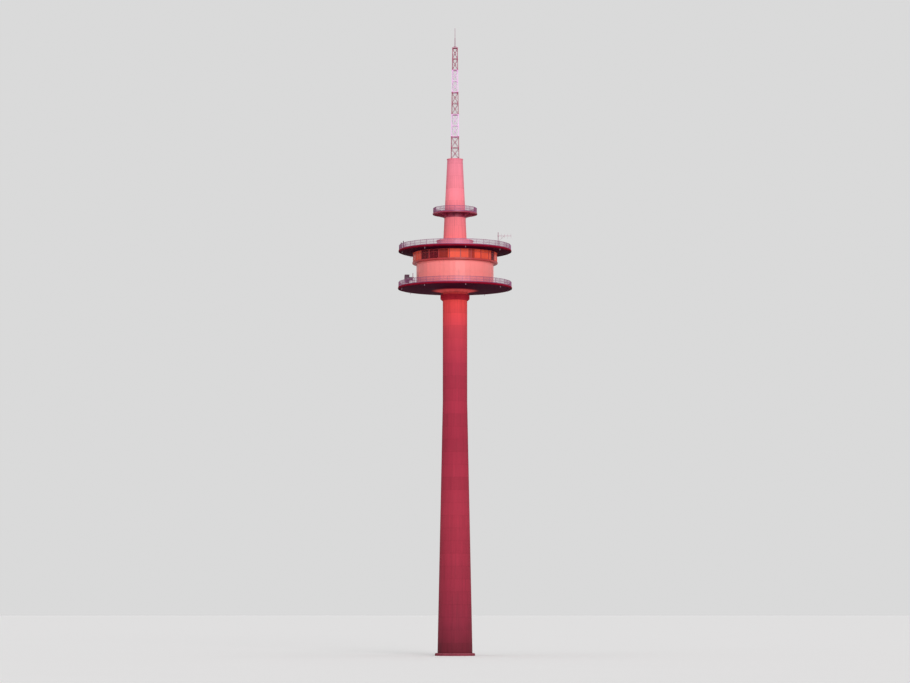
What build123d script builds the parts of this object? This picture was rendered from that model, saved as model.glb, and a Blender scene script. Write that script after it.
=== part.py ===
"""Concrete telecommunications tower with a lattice mast on top, as a 1:10 scale model.

All sizes are millimetres of the model, so one hundred of them are one metre of the real tower.
+Z is up, and the origin is the centre of the foundation's underside. -Y is the front,
which is the side seen in the picture, and the doors are at the back.
"""

from math import cos, pi, radians, sin, tan
from build123d import *
import os

# Gaps between pieces that are made apart and then set against each other
SEAT = 0.3
PANEL_JOINT = 2.0

# The concrete is cast against flat formwork panels, so many to the round, and every radius of a
# cast wall or slab is measured to the corners between them
FORMWORK_SIDES = 48

# Foundation under the shaft
FOUNDATION_HEIGHT = 50.0
FOUNDATION_LEDGE = 50.0
FOUNDATION_CHAMFER = 12.0

# Tapering and straight parts of the shaft
SHAFT_FOOT_RADIUS = 345.0
SHAFT_RADIUS = 243.0
SHAFT_WALL = 35.0
BASE_LIFT_TOP = 400.0
TAPER_TOP = 5000.0

# Corbel ring under the lower platform
COLLAR_RADIUS = 290.0
COLLAR_HEIGHT = 110.0
COLLAR_TOP_BELOW_PLATFORM = 150.0
COLLAR_CHAMFER = 30.0

# Platforms, slabs that grow thicker towards the shaft
LOWER_PLATFORM_TOP = 7274.0
LOWER_PLATFORM_RADIUS = 1135.0
LOWER_RIM = 28.0
LOWER_ROOT = 70.0
LOWER_ROOT_RADIUS = 330.0
LOWER_HAUNCH = 45.0
LOWER_HAUNCH_LEDGE = 12.0
UPPER_PLATFORM_TOP = 8012.0
UPPER_PLATFORM_RADIUS = 1125.0
UPPER_RIM = 24.0
UPPER_ROOT = 50.0
UPPER_FLAT_RADIUS = 880.0

# Cabin between the platforms
CABIN_RADIUS = 763.0
CABIN_WALL = 20.0
CABIN_PANELS = 16
CABIN_FLOOR_TOP = 7680.0
CABIN_FLOOR_THICKNESS = 20.0
CABIN_FLOOR_SLABS = 8
SILL_BOTTOM = 7745.0
SILL_HEIGHT = 30.0
SILL_RADIUS = 850.0
SILL_INNER_OVERHANG = 8.0
SILL_CHAMFER = 8.0
WINDOWS = 24
WINDOW_POST_WIDTH = 9.0
WINDOW_POST_DEPTH = 14.0
WINDOW_POST_INSET = 6.0
GLASS_THICKNESS = 3.0

# Railings of the platforms
RAILING_HEIGHT = 110.0
RAILING_INSET = 12.0
RAILING_BAR = 5.0
RAILING_JOINT = 1.0
RAILING_BAYS = 24
RING_RAILING_BAYS = 12

# Drum that closes the foot of the tip on the upper platform
DRUM_RADIUS = 360.0
DRUM_HEIGHT = 200.0
DRUM_WALL = 15.0
DRUM_EAVE = 10.0

# Concrete tip, its cap and the small ring platform round it
TIP_TOP = 9840.0
TIP_TOP_RADIUS = 155.0
TIP_WALL = 25.0
CAP_THICKNESS = 14.0
CAP_OVERHANG = 8.0
RING_PLATFORM_TOP = 8760.0
RING_PLATFORM_RADIUS = 445.0
RING_PLATE = 8.0
RING_RIM_HEIGHT = 22.0
RING_RIM_THICKNESS = 5.0
RING_COLLAR_HEIGHT = 90.0
RING_COLLAR_THICKNESS = 12.0
RING_BRACKETS = 8
RING_BRACKET_THICKNESS = 8.0

# Lattice mast, in sections of one colour each, and the rod on top
MAST_SECTIONS = 5
MAST_SECTION_HEIGHT = 450.0
MAST_PANELS = 2
MAST_FOOT_WIDTH = 170.0
MAST_HEAD_WIDTH = 110.0
MAST_LEG = 13.0
MAST_RING_BAR = 9.0
MAST_DIAGONAL_BAR = 6.0
MAST_NODE_CLEARANCE = 6.0
ROD_PLATE = 8.0
ROD_STEPS = ((9.0, 190.0), (5.0, 206.0))

# Doors
DOOR_ANGLE = 90.0
DOOR_WIDTH = 104.0
DOOR_HEIGHT = 214.0
DOOR_FRAME_BAR = 6.0
DOOR_FRAME_PROUD = 4.0
DOOR_LEAF = 6.0
DOOR_LEAF_RECESS = 1.5
DOOR_LEAF_MARGIN = 12.0
CABIN_DOOR_ANGLE = 101.25
CABIN_DOOR_WIDTH = 90.0
CABIN_DOOR_HEIGHT = 205.0
DRUM_DOOR_WIDTH = 80.0
DRUM_DOOR_HEIGHT = 170.0

# Antennas
DISH_RADIUS = 85.0
DISH_SHROUD_DEPTH = 92.0
DISH_RADIO_RADIUS = 34.0
DISH_FACE_X = -1000.0
DISH_CENTRE_ABOVE_PLATFORM = 178.0
POLE_RADIUS = 7.0
POLE_X = -838.0
POLE_HEIGHT = 290.0
POLE_PLATE_WIDTH = 36.0
POLE_PLATE = 5.0
ARM_POST_X = 860.0
ARM_POST_HEIGHT = 370.0
ARM_HEIGHT = 300.0
ARM_END_X = 1118.0
ARM_BAR = 7.0
ARM_ELEMENTS = 4
ARM_ELEMENT_BAR = 4.0
ARM_ELEMENT_LENGTH = 84.0
PANEL_ANTENNA_ANGLES = (162.0, 174.0, 186.0, 198.0)
PANEL_ANTENNA_WIDTH = 26.0
PANEL_ANTENNA_DEPTH = 12.0
PANEL_ANTENNA_HEIGHT = 130.0
PANEL_ANTENNA_LIFT = 26.0
PANEL_ANTENNA_INSET = 45.0

QUADRANTS = {"front": 225.0, "right": 315.0, "back": 45.0, "left": 135.0}
FORMWORK_STEP = 360.0 / FORMWORK_SIDES
PANELS_PER_QUADRANT = FORMWORK_SIDES // 4
SHAFT_TOP = UPPER_PLATFORM_TOP - UPPER_ROOT
MAST_FOOT = TIP_TOP + CAP_THICKNESS
MAST_HEAD = MAST_FOOT + MAST_SECTIONS * MAST_SECTION_HEIGHT


def write(piece, name):
    """Labels a finished piece and writes it to its own file."""
    piece.part.label = name
    export_step(piece.part, f"parts/{name}.step")


def meridian(angle):
    """Vertical plane through the tower's axis: local x points outwards at the angle, local y up."""
    turn = radians(angle)
    return Plane(origin=(0, 0, 0), x_dir=(cos(turn), sin(turn), 0), z_dir=(sin(turn), -cos(turn), 0))


def facing(angle, radius, height):
    """Upright plane that faces outwards at the angle: local x runs along the wall, local y up."""
    turn = radians(angle)
    outward = Vector(cos(turn), sin(turn), 0)
    return Plane(
        origin=outward * radius + Vector(0, 0, height),
        x_dir=(-sin(turn), cos(turn), 0),
        z_dir=(cos(turn), sin(turn), 0),
    )


def sector(profile):
    """Wedge of a ring, one formwork panel wide, from its outline of (radius, height) points."""
    half = pi / FORMWORK_SIDES
    reach = max(radius for radius, height in profile)
    low = min(height for radius, height in profile)
    high = max(height for radius, height in profile)
    with BuildPart() as wedge:
        with BuildSketch(meridian(0)) as outline:
            with BuildLine():
                Polyline(*[(radius * cos(half), height) for radius, height in profile], close=True)
            make_face()
        extrude(outline.sketch, amount=reach, both=True)
        with BuildSketch(Plane.XY.offset(low)) as plan:
            with BuildLine():
                Polyline((0, 0), (reach, reach * tan(half)), (reach, -reach * tan(half)), close=True)
            make_face()
        extrude(plan.sketch, amount=high - low, mode=Mode.INTERSECT)
    return wedge.part


def cast(profile, start=0.0, panels=FORMWORK_SIDES):
    """Wall or slab made of sectors side by side round the axis, from the angle given."""
    wedge = sector(profile)
    with BuildPart() as ring:
        with PolarLocations(0, panels, start + FORMWORK_STEP / 2, panels * FORMWORK_STEP):
            add(wedge)
    return ring


def bar(start, end, width, side):
    """Square bar between two points, with one face turned to the side given."""
    run = end - start
    with BuildSketch(Plane(origin=start, x_dir=side, z_dir=run)) as section:
        Rectangle(width, width)
    extrude(section.sketch, amount=run.length)


def slab_of_height(low, high, radius):
    """Keeps only what lies between two heights."""
    with BuildSketch(Plane.XY.offset(low)) as disc:
        Circle(radius)
    extrude(disc.sketch, amount=high - low, mode=Mode.INTERSECT)


def shaft_radius(height):
    """Outer radius of the shaft: a cone up to the end of the taper, then a cylinder."""
    share = min(height / TAPER_TOP, 1.0)
    return SHAFT_FOOT_RADIUS + (SHAFT_RADIUS - SHAFT_FOOT_RADIUS) * share


def tip_radius(height):
    """Outer radius of the concrete tip."""
    share = (height - UPPER_PLATFORM_TOP) / (TIP_TOP - UPPER_PLATFORM_TOP)
    return SHAFT_RADIUS + (TIP_TOP_RADIUS - SHAFT_RADIUS) * share


def wall_outline(low, high, radius_at, thickness):
    """Outline of a round wall between two heights."""
    return [
        (radius_at(low) - thickness, low),
        (radius_at(low), low),
        (radius_at(high), high),
        (radius_at(high) - thickness, high),
    ]


def foundation():
    with BuildPart() as slab:
        with BuildSketch():
            RegularPolygon(SHAFT_FOOT_RADIUS + FOUNDATION_LEDGE, FORMWORK_SIDES)
        extrude(amount=FOUNDATION_HEIGHT)
        chamfer(slab.faces().sort_by(Axis.Z)[-1].edges(), FOUNDATION_CHAMFER)
    write(slab, "foundation_slab")


def base_walls():
    """First lift of the shaft, split beside and over the doorway at the back."""
    outline = wall_outline(FOUNDATION_HEIGHT, BASE_LIFT_TOP, shaft_radius, SHAFT_WALL)
    for side in ("front", "right", "left"):
        write(cast(outline, QUADRANTS[side], PANELS_PER_QUADRANT), f"base_wall_{side}")

    back = cast(outline, QUADRANTS["back"], PANELS_PER_QUADRANT)
    with BuildPart() as beside:
        add(back.part)
        with BuildSketch(facing(DOOR_ANGLE, 0, FOUNDATION_HEIGHT)):
            Rectangle(DOOR_WIDTH, BASE_LIFT_TOP, align=(Align.CENTER, Align.MIN))
        extrude(amount=SHAFT_FOOT_RADIUS, mode=Mode.SUBTRACT)
    write(beside, "base_wall_beside_door")

    lintel = FOUNDATION_HEIGHT + DOOR_HEIGHT
    with BuildPart() as over:
        add(back.part)
        with BuildSketch(facing(DOOR_ANGLE, 0, lintel)):
            Rectangle(DOOR_WIDTH, BASE_LIFT_TOP - lintel, align=(Align.CENTER, Align.MIN))
        extrude(amount=SHAFT_FOOT_RADIUS, mode=Mode.INTERSECT)
    write(over, "base_wall_over_door")


def base_door():
    """Steel frame in the doorway and the closed leaf inside it."""
    inner_face = shaft_radius(BASE_LIFT_TOP) - SHAFT_WALL
    depth = shaft_radius(FOUNDATION_HEIGHT) + DOOR_FRAME_PROUD - inner_face
    width = DOOR_WIDTH - 2 * SEAT
    height = DOOR_HEIGHT - SEAT
    with BuildPart() as frame:
        with BuildSketch(facing(DOOR_ANGLE, inner_face, FOUNDATION_HEIGHT)):
            Rectangle(width, height, align=(Align.CENTER, Align.MIN))
            Rectangle(
                width - 2 * DOOR_FRAME_BAR,
                height - DOOR_FRAME_BAR,
                align=(Align.CENTER, Align.MIN),
                mode=Mode.SUBTRACT,
            )
        extrude(amount=depth)
    write(frame, "door_frame")

    clear_width = width - 2 * (DOOR_FRAME_BAR + SEAT)
    clear_height = height - DOOR_FRAME_BAR - 2 * SEAT
    leaf_plane = facing(DOOR_ANGLE, inner_face + depth / 2, FOUNDATION_HEIGHT + SEAT)
    write(door_leaf(leaf_plane, clear_width, clear_height), "door_leaf")


def door_leaf(plane, width, height):
    """Door leaf with two recessed fields on its outer face, standing on the plane's origin."""
    field_width = width - 2 * DOOR_LEAF_MARGIN
    field_height = (height - 3 * DOOR_LEAF_MARGIN) / 2
    with BuildPart() as leaf:
        with BuildSketch(plane):
            Rectangle(width, height, align=(Align.CENTER, Align.MIN))
        extrude(amount=DOOR_LEAF)
        with BuildSketch(plane.offset(DOOR_LEAF)):
            for field in range(2):
                rise = DOOR_LEAF_MARGIN + field * (field_height + DOOR_LEAF_MARGIN)
                with Locations((0, rise)):
                    Rectangle(field_width, field_height, align=(Align.CENTER, Align.MIN))
        extrude(amount=-DOOR_LEAF_RECESS, mode=Mode.SUBTRACT)
    return leaf


def shaft_walls():
    """Quarter shells of the tapering lift and of the straight lift above it."""
    lifts = {"taper": (BASE_LIFT_TOP, TAPER_TOP), "shaft": (TAPER_TOP, SHAFT_TOP)}
    for lift, (low, high) in lifts.items():
        outline = wall_outline(low, high, shaft_radius, SHAFT_WALL)
        for side, start in QUADRANTS.items():
            write(cast(outline, start, PANELS_PER_QUADRANT), f"{lift}_wall_{side}")


def collar():
    high = LOWER_PLATFORM_TOP - COLLAR_TOP_BELOW_PLATFORM
    low = high - COLLAR_HEIGHT
    bore = SHAFT_RADIUS + SEAT
    outline = [
        (bore, low),
        (COLLAR_RADIUS - COLLAR_CHAMFER, low),
        (COLLAR_RADIUS, low + COLLAR_CHAMFER),
        (COLLAR_RADIUS, high),
        (bore, high),
    ]
    write(cast(outline), "collar_ring")


def platforms():
    """Both slabs: the lower one is cast round the shaft, the upper one lies on its wall."""
    top = LOWER_PLATFORM_TOP
    root = top - LOWER_ROOT
    bore = SHAFT_RADIUS + SEAT
    outline = [
        (bore, top),
        (LOWER_PLATFORM_RADIUS, top),
        (LOWER_PLATFORM_RADIUS, top - LOWER_RIM),
        (LOWER_ROOT_RADIUS, root),
        (bore + LOWER_HAUNCH_LEDGE, root - LOWER_HAUNCH),
        (bore, root - LOWER_HAUNCH),
    ]
    write(cast(outline), "lower_platform")

    top = UPPER_PLATFORM_TOP
    bore = SHAFT_RADIUS - SHAFT_WALL
    outline = [
        (bore, top),
        (UPPER_PLATFORM_RADIUS, top),
        (UPPER_PLATFORM_RADIUS, top - UPPER_RIM),
        (UPPER_FLAT_RADIUS, top - UPPER_ROOT),
        (bore, top - UPPER_ROOT),
    ]
    write(cast(outline), "upper_platform")


def railing(name, radius, height, bays):
    """Straight bays with a top rail and a knee rail on one post, clear of the next bay."""
    apothem = radius * cos(pi / bays)
    length = 2 * (apothem - RAILING_BAR / 2) * tan(pi / bays) - RAILING_JOINT
    with BuildPart() as ring:
        for level in (RAILING_HEIGHT / 2, RAILING_HEIGHT):
            with BuildSketch(Plane.XY.offset(height + level - RAILING_BAR)):
                with PolarLocations(apothem, bays, start_angle=180.0 / bays):
                    Rectangle(RAILING_BAR, length)
            extrude(amount=RAILING_BAR)
        with BuildSketch(Plane.XY.offset(height)):
            with PolarLocations(apothem, bays, start_angle=180.0 / bays):
                Rectangle(RAILING_BAR, RAILING_BAR)
        extrude(amount=RAILING_HEIGHT)
    write(ring, name)


def cabin_panels():
    """Wall panels, a quarter of the round to a node, with the way out cut at the back."""
    inner = CABIN_RADIUS - CABIN_WALL
    outline = [
        (inner, LOWER_PLATFORM_TOP),
        (CABIN_RADIUS, LOWER_PLATFORM_TOP),
        (CABIN_RADIUS, SILL_BOTTOM),
        (inner, SILL_BOTTOM),
    ]
    for side, start in QUADRANTS.items():
        with BuildPart() as panels:
            add(cast(outline, start, PANELS_PER_QUADRANT).part)
            with BuildSketch(Plane.XY.offset(LOWER_PLATFORM_TOP)):
                with PolarLocations(CABIN_RADIUS - CABIN_WALL / 2, CABIN_PANELS):
                    Rectangle(2 * CABIN_WALL, PANEL_JOINT)
            extrude(amount=SILL_BOTTOM - LOWER_PLATFORM_TOP, mode=Mode.SUBTRACT)
            if side == "back":
                with BuildSketch(facing(CABIN_DOOR_ANGLE, 0, LOWER_PLATFORM_TOP)):
                    Rectangle(CABIN_DOOR_WIDTH, CABIN_DOOR_HEIGHT, align=(Align.CENTER, Align.MIN))
                extrude(amount=CABIN_RADIUS, mode=Mode.SUBTRACT)
        write(panels, f"cabin_panels_{side}")

    middle = CABIN_RADIUS - CABIN_WALL / 2 - DOOR_LEAF / 2
    leaf_plane = facing(CABIN_DOOR_ANGLE, middle, LOWER_PLATFORM_TOP + SEAT)
    leaf = door_leaf(leaf_plane, CABIN_DOOR_WIDTH - 2 * SEAT, CABIN_DOOR_HEIGHT - 2 * SEAT)
    write(leaf, "cabin_door")


def cabin_floor():
    """Floor below the window row, in slabs between the shaft and the cabin wall."""
    bottom = CABIN_FLOOR_TOP - CABIN_FLOOR_THICKNESS
    inner = SHAFT_RADIUS + SEAT
    outer = CABIN_RADIUS - CABIN_WALL - SEAT
    outline = [
        (inner, bottom),
        (outer, bottom),
        (outer, CABIN_FLOOR_TOP),
        (inner, CABIN_FLOOR_TOP),
    ]
    with BuildPart() as slabs:
        add(cast(outline).part)
        with BuildSketch(Plane.XY.offset(bottom)):
            with PolarLocations((inner + outer) / 2, CABIN_FLOOR_SLABS):
                Rectangle(outer, PANEL_JOINT)
        extrude(amount=CABIN_FLOOR_THICKNESS, mode=Mode.SUBTRACT)
    write(slabs, "cabin_floor")


def window_band():
    """Wider band of windows between the cabin wall and the upper platform."""
    sill_top = SILL_BOTTOM + SILL_HEIGHT
    head = UPPER_PLATFORM_TOP - UPPER_ROOT
    inner = CABIN_RADIUS - CABIN_WALL - SILL_INNER_OVERHANG
    outline = [
        (inner, SILL_BOTTOM),
        (SILL_RADIUS - SILL_CHAMFER, SILL_BOTTOM),
        (SILL_RADIUS, SILL_BOTTOM + SILL_CHAMFER),
        (SILL_RADIUS, sill_top),
        (inner, sill_top),
    ]
    write(cast(outline), "window_sill")

    post_radius = SILL_RADIUS - WINDOW_POST_INSET - WINDOW_POST_DEPTH / 2
    step = 360.0 / WINDOWS
    with BuildPart() as posts:
        with BuildSketch(Plane.XY.offset(sill_top)):
            with PolarLocations(post_radius, WINDOWS, start_angle=step / 2):
                Rectangle(WINDOW_POST_DEPTH, WINDOW_POST_WIDTH)
        extrude(amount=head - sill_top)
    write(posts, "window_posts")

    # The panes are flat, from post to post, in the middle of the posts' depth
    pane_width = 2 * post_radius * sin(radians(step / 2)) - WINDOW_POST_WIDTH - 2 * SEAT
    pane_radius = post_radius * cos(radians(step / 2))
    with BuildPart() as glass:
        with BuildSketch(Plane.XY.offset(sill_top + SEAT)):
            with PolarLocations(pane_radius, WINDOWS):
                Rectangle(GLASS_THICKNESS, pane_width)
        extrude(amount=head - sill_top - 2 * SEAT)
    write(glass, "window_glass")


def roof_drum():
    """Low round housing that closes the foot of the tip, with its door at the back."""
    low = UPPER_PLATFORM_TOP
    high = low + DRUM_HEIGHT
    ceiling = high - DRUM_WALL
    inner = DRUM_RADIUS - DRUM_WALL
    eave = DRUM_RADIUS + DRUM_EAVE
    roof_bore = tip_radius(ceiling) + SEAT
    outline = [
        (inner, low),
        (DRUM_RADIUS, low),
        (DRUM_RADIUS, ceiling),
        (eave, ceiling),
        (eave, high),
        (roof_bore, high),
        (roof_bore, ceiling),
        (inner, ceiling),
    ]
    with BuildPart() as drum:
        add(cast(outline).part)
        with BuildSketch(facing(DOOR_ANGLE, tip_radius(low) + SEAT, low)):
            Rectangle(DRUM_DOOR_WIDTH, DRUM_DOOR_HEIGHT, align=(Align.CENTER, Align.MIN))
        extrude(amount=DRUM_RADIUS, mode=Mode.SUBTRACT)
    write(drum, "roof_drum")

    leaf_plane = facing(DOOR_ANGLE, inner, low + SEAT)
    leaf = door_leaf(leaf_plane, DRUM_DOOR_WIDTH - 2 * SEAT, DRUM_DOOR_HEIGHT - 2 * SEAT)
    write(leaf, "drum_door")


def tip():
    """Tapering concrete tip, closed by a wider cap slab."""
    with BuildPart() as cone:
        add(cast(wall_outline(UPPER_PLATFORM_TOP, TIP_TOP, tip_radius, TIP_WALL)).part)
        with BuildSketch(Plane.XY.offset(TIP_TOP)):
            RegularPolygon(TIP_TOP_RADIUS + CAP_OVERHANG, FORMWORK_SIDES)
        extrude(amount=CAP_THICKNESS)
    write(cone, "tip_wall")


def ring_platform():
    """Small walkway round the tip, on a clamping collar with brackets."""
    top = RING_PLATFORM_TOP
    plate_bottom = top - RING_PLATE
    collar_bottom = top - RING_COLLAR_HEIGHT
    bore_low = tip_radius(collar_bottom) + SEAT
    bore_high = tip_radius(top) + SEAT
    collar_outer = bore_low + RING_COLLAR_THICKNESS
    rim_inner = RING_PLATFORM_RADIUS - RING_RIM_THICKNESS
    rim_bottom = top - RING_RIM_HEIGHT
    outline = [
        (bore_high, top),
        (RING_PLATFORM_RADIUS, top),
        (RING_PLATFORM_RADIUS, rim_bottom),
        (rim_inner, rim_bottom),
        (rim_inner, plate_bottom),
        (collar_outer, plate_bottom),
        (collar_outer, collar_bottom),
        (bore_low, collar_bottom),
    ]
    with BuildPart() as ring:
        add(cast(outline).part)
        for bracket in range(RING_BRACKETS):
            with BuildSketch(meridian(bracket * 360.0 / RING_BRACKETS)):
                with BuildLine():
                    Polyline(
                        (collar_outer - RING_COLLAR_THICKNESS / 2, plate_bottom),
                        (rim_inner, plate_bottom),
                        (rim_inner, rim_bottom),
                        (collar_outer - RING_COLLAR_THICKNESS / 2, collar_bottom + RING_PLATE),
                        close=True,
                    )
                make_face()
            extrude(amount=RING_BRACKET_THICKNESS / 2, both=True)
    write(ring, "ring_platform")


def mast_corner(index, height):
    """Centre of one leg at a height; the four legs lean in evenly from foot to head."""
    share = (height - MAST_FOOT) / (MAST_HEAD - MAST_FOOT)
    reach = (MAST_FOOT_WIDTH + (MAST_HEAD_WIDTH - MAST_FOOT_WIDTH) * share - MAST_LEG) / 2
    across, along = ((1, 1), (-1, 1), (-1, -1), (1, -1))[index % 4]
    return Vector(across * reach, along * reach, height)


def mast_sections():
    """Square lattice sections: four legs, horizontal rings and crossed diagonals on each face."""
    panel_height = MAST_SECTION_HEIGHT / MAST_PANELS
    for number in range(MAST_SECTIONS):
        low = MAST_FOOT + number * MAST_SECTION_HEIGHT
        high = low + MAST_SECTION_HEIGHT
        with BuildPart() as section:
            for leg in range(4):
                bar(mast_corner(leg, low - MAST_LEG), mast_corner(leg, high + MAST_LEG), MAST_LEG, (1, 0, 0))
            for face in range(4):
                outward = mast_corner(face, low) + mast_corner(face + 1, low)
                side = (outward.X, outward.Y, 0)
                levels = [low + MAST_RING_BAR / 2, high - MAST_RING_BAR / 2]
                levels += [low + panel * panel_height for panel in range(1, MAST_PANELS)]
                for level in levels:
                    bar(mast_corner(face, level), mast_corner(face + 1, level), MAST_RING_BAR, side)
                for panel in range(MAST_PANELS):
                    foot = low + panel * panel_height + MAST_NODE_CLEARANCE
                    head = foot + panel_height - 2 * MAST_NODE_CLEARANCE
                    for start, end in ((face, face + 1), (face + 1, face)):
                        bar(mast_corner(start, foot), mast_corner(end, head), MAST_DIAGONAL_BAR, side)
            slab_of_height(low, high, MAST_FOOT_WIDTH)
        write(section, f"mast_section_{number + 1}")


def lightning_rod():
    """Head plate of the mast with a rod that gets thinner in steps."""
    with BuildPart() as rod:
        with BuildSketch(Plane.XY.offset(MAST_HEAD)):
            Rectangle(MAST_HEAD_WIDTH, MAST_HEAD_WIDTH)
        extrude(amount=ROD_PLATE)
        foot = MAST_HEAD + ROD_PLATE
        for radius, length in ROD_STEPS:
            with BuildSketch(Plane.XY.offset(foot)):
                Circle(radius)
            extrude(amount=length)
            foot += length
    write(rod, "lightning_rod")


def footed_pole(x, low, height):
    """Round pole on a square base plate."""
    with BuildSketch(Plane(origin=(x, 0, low))) as plate:
        Rectangle(POLE_PLATE_WIDTH, POLE_PLATE_WIDTH)
    extrude(plate.sketch, amount=POLE_PLATE)
    with BuildSketch(Plane(origin=(x, 0, low))) as pole:
        Circle(POLE_RADIUS)
    extrude(pole.sketch, amount=height)


def drum_antenna():
    """Shrouded dish at the left of the lower platform, on a pole beside the cabin."""
    with BuildPart() as pole:
        footed_pole(POLE_X, LOWER_PLATFORM_TOP, POLE_HEIGHT)
    write(pole, "antenna_pole")

    centre = (0, LOWER_PLATFORM_TOP + DISH_CENTRE_ABOVE_PLATFORM)
    radio_end = POLE_X - POLE_RADIUS - SEAT
    with BuildPart() as dish:
        with BuildSketch(Plane.YZ.offset(DISH_FACE_X)):
            with Locations(centre):
                Circle(DISH_RADIUS)
        extrude(amount=DISH_SHROUD_DEPTH)
        with BuildSketch(Plane.YZ.offset(DISH_FACE_X + DISH_SHROUD_DEPTH)):
            with Locations(centre):
                Circle(DISH_RADIO_RADIUS)
        extrude(amount=radio_end - DISH_FACE_X - DISH_SHROUD_DEPTH)
    write(dish, "drum_antenna")


def side_arm_antenna():
    """Post at the right of the upper platform, with a boom and upright rods that points outwards."""
    low = UPPER_PLATFORM_TOP
    with BuildPart() as post:
        footed_pole(ARM_POST_X, low, ARM_POST_HEIGHT)
        with BuildSketch(Plane.YZ.offset(ARM_POST_X)):
            with Locations((0, low + ARM_HEIGHT)):
                Rectangle(ARM_BAR, ARM_BAR)
        extrude(amount=ARM_END_X - ARM_POST_X)
        spacing = (ARM_END_X - ARM_POST_X) / ARM_ELEMENTS
        with BuildSketch(Plane.XY.offset(low + ARM_HEIGHT - ARM_ELEMENT_LENGTH / 2)):
            for element in range(1, ARM_ELEMENTS + 1):
                with Locations((ARM_POST_X + element * spacing - ARM_BAR / 2, 0)):
                    Rectangle(ARM_ELEMENT_BAR, ARM_ELEMENT_BAR)
        extrude(amount=ARM_ELEMENT_LENGTH)
    write(post, "side_arm_antenna")


def panel_antennas():
    """Upright panel antennas inside the railing at the left of the upper platform."""
    with BuildPart() as panels:
        for angle in PANEL_ANTENNA_ANGLES:
            place = facing(angle, UPPER_PLATFORM_RADIUS - PANEL_ANTENNA_INSET, UPPER_PLATFORM_TOP)
            with BuildSketch(place.offset(-PANEL_ANTENNA_DEPTH)):
                with Locations((0, PANEL_ANTENNA_LIFT)):
                    Rectangle(
                        PANEL_ANTENNA_WIDTH,
                        PANEL_ANTENNA_HEIGHT,
                        align=(Align.CENTER, Align.MIN),
                    )
            extrude(amount=PANEL_ANTENNA_DEPTH)
            with BuildSketch(place.offset(-PANEL_ANTENNA_DEPTH - RAILING_BAR)):
                Rectangle(RAILING_BAR, PANEL_ANTENNA_HEIGHT, align=(Align.CENTER, Align.MIN))
            extrude(amount=RAILING_BAR)
    write(panels, "panel_antennas")


os.makedirs("parts", exist_ok=True)
foundation()
base_walls()
base_door()
shaft_walls()
collar()
platforms()
railing("lower_railing", LOWER_PLATFORM_RADIUS - RAILING_INSET, LOWER_PLATFORM_TOP, RAILING_BAYS)
cabin_panels()
cabin_floor()
window_band()
railing("upper_railing", UPPER_PLATFORM_RADIUS - RAILING_INSET, UPPER_PLATFORM_TOP, RAILING_BAYS)
roof_drum()
tip()
ring_platform()
railing("ring_railing", RING_PLATFORM_RADIUS - RAILING_INSET, RING_PLATFORM_TOP, RING_RAILING_BAYS)
mast_sections()
lightning_rod()
drum_antenna()
side_arm_antenna()
panel_antennas()
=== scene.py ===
"""Looks of a concrete telecommunications tower with a banded lattice mast, as a 1:10 scale model.

Everything is in metres. +Z is up, -Y is the front and +X is to its right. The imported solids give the
places, and each class below dresses one sub-assembly of the tower.
"""

import logging
from abc import ABC, abstractmethod
from collections.abc import Callable
from dataclasses import dataclass
from enum import Enum
from math import cos, degrees, pi, radians, sin, tan
from typing import TypeAlias

import bmesh
import bpy
from mathutils import Matrix, Vector


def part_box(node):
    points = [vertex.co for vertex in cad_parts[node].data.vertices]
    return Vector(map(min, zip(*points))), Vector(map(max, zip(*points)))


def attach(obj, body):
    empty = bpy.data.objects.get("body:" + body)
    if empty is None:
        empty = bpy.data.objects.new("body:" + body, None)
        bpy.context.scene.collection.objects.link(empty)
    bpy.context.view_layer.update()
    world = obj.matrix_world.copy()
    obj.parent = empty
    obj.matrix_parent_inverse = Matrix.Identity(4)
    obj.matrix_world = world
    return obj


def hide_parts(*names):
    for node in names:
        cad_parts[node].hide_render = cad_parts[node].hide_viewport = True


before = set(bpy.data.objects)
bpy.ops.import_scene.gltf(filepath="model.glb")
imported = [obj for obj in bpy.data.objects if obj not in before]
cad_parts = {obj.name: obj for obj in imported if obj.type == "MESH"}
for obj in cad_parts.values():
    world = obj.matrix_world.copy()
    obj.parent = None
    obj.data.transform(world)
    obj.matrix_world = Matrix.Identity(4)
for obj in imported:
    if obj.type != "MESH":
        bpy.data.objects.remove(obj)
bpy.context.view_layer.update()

LOG = logging.getLogger("tower")
BODY = "root"
TURN = 360.0
QUARTER = pi / 2
FORMWORK_SIDES = 48
FORMWORK_STEP = TURN / FORMWORK_SIDES
MERGE_DISTANCE = 1e-6
FLAT_ANGLE = radians(0.5)
ROUND_ANGLE = radians(35.0)
HEXAGON = 6
BAR_SIDES = 8
PIPE_SIDES = 10
DRAIN_SIDES = 12
PLUG_SIDES = 16
TIP_HEAD = 9.84
TIP_HEAD_RADIUS = 0.155
CABIN_FOOT = 7.274
WINDOW_FOOT = 7.775
DOOR_TURN = 90.0
CABIN_DOOR_TURN = 101.25
ORIGIN = Vector((0.0, 0.0, 0.0))
RIGHT = Vector((1.0, 0.0, 0.0))
BACK = Vector((0.0, 1.0, 0.0))
UP = Vector((0.0, 0.0, 1.0))
AT_ORIGIN = Matrix.Identity(4)
UPRIGHT = Matrix.Rotation(-QUARTER, 4, "Y")
QUARTER_TURNS = tuple(Matrix.Rotation(quarter * QUARTER, 4, "Z") for quarter in range(4))

# How a screen's colour values stand for light, and how the shaders share their patterns
SCREEN_WHITE = 255.0
SCREEN_KNEE = 0.04045
SCREEN_SLOPE = 12.92
SCREEN_LIFT = 0.055
SCREEN_POWER = 2.4
LINE_CORE = 1 / 3
NOISE_DETAIL = 4.0
NOISE_ROUGHNESS = 0.6
MIX_SHARE, MIX_FIRST, MIX_SECOND, MIX_RESULT = 0, 6, 7, 2

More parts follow.
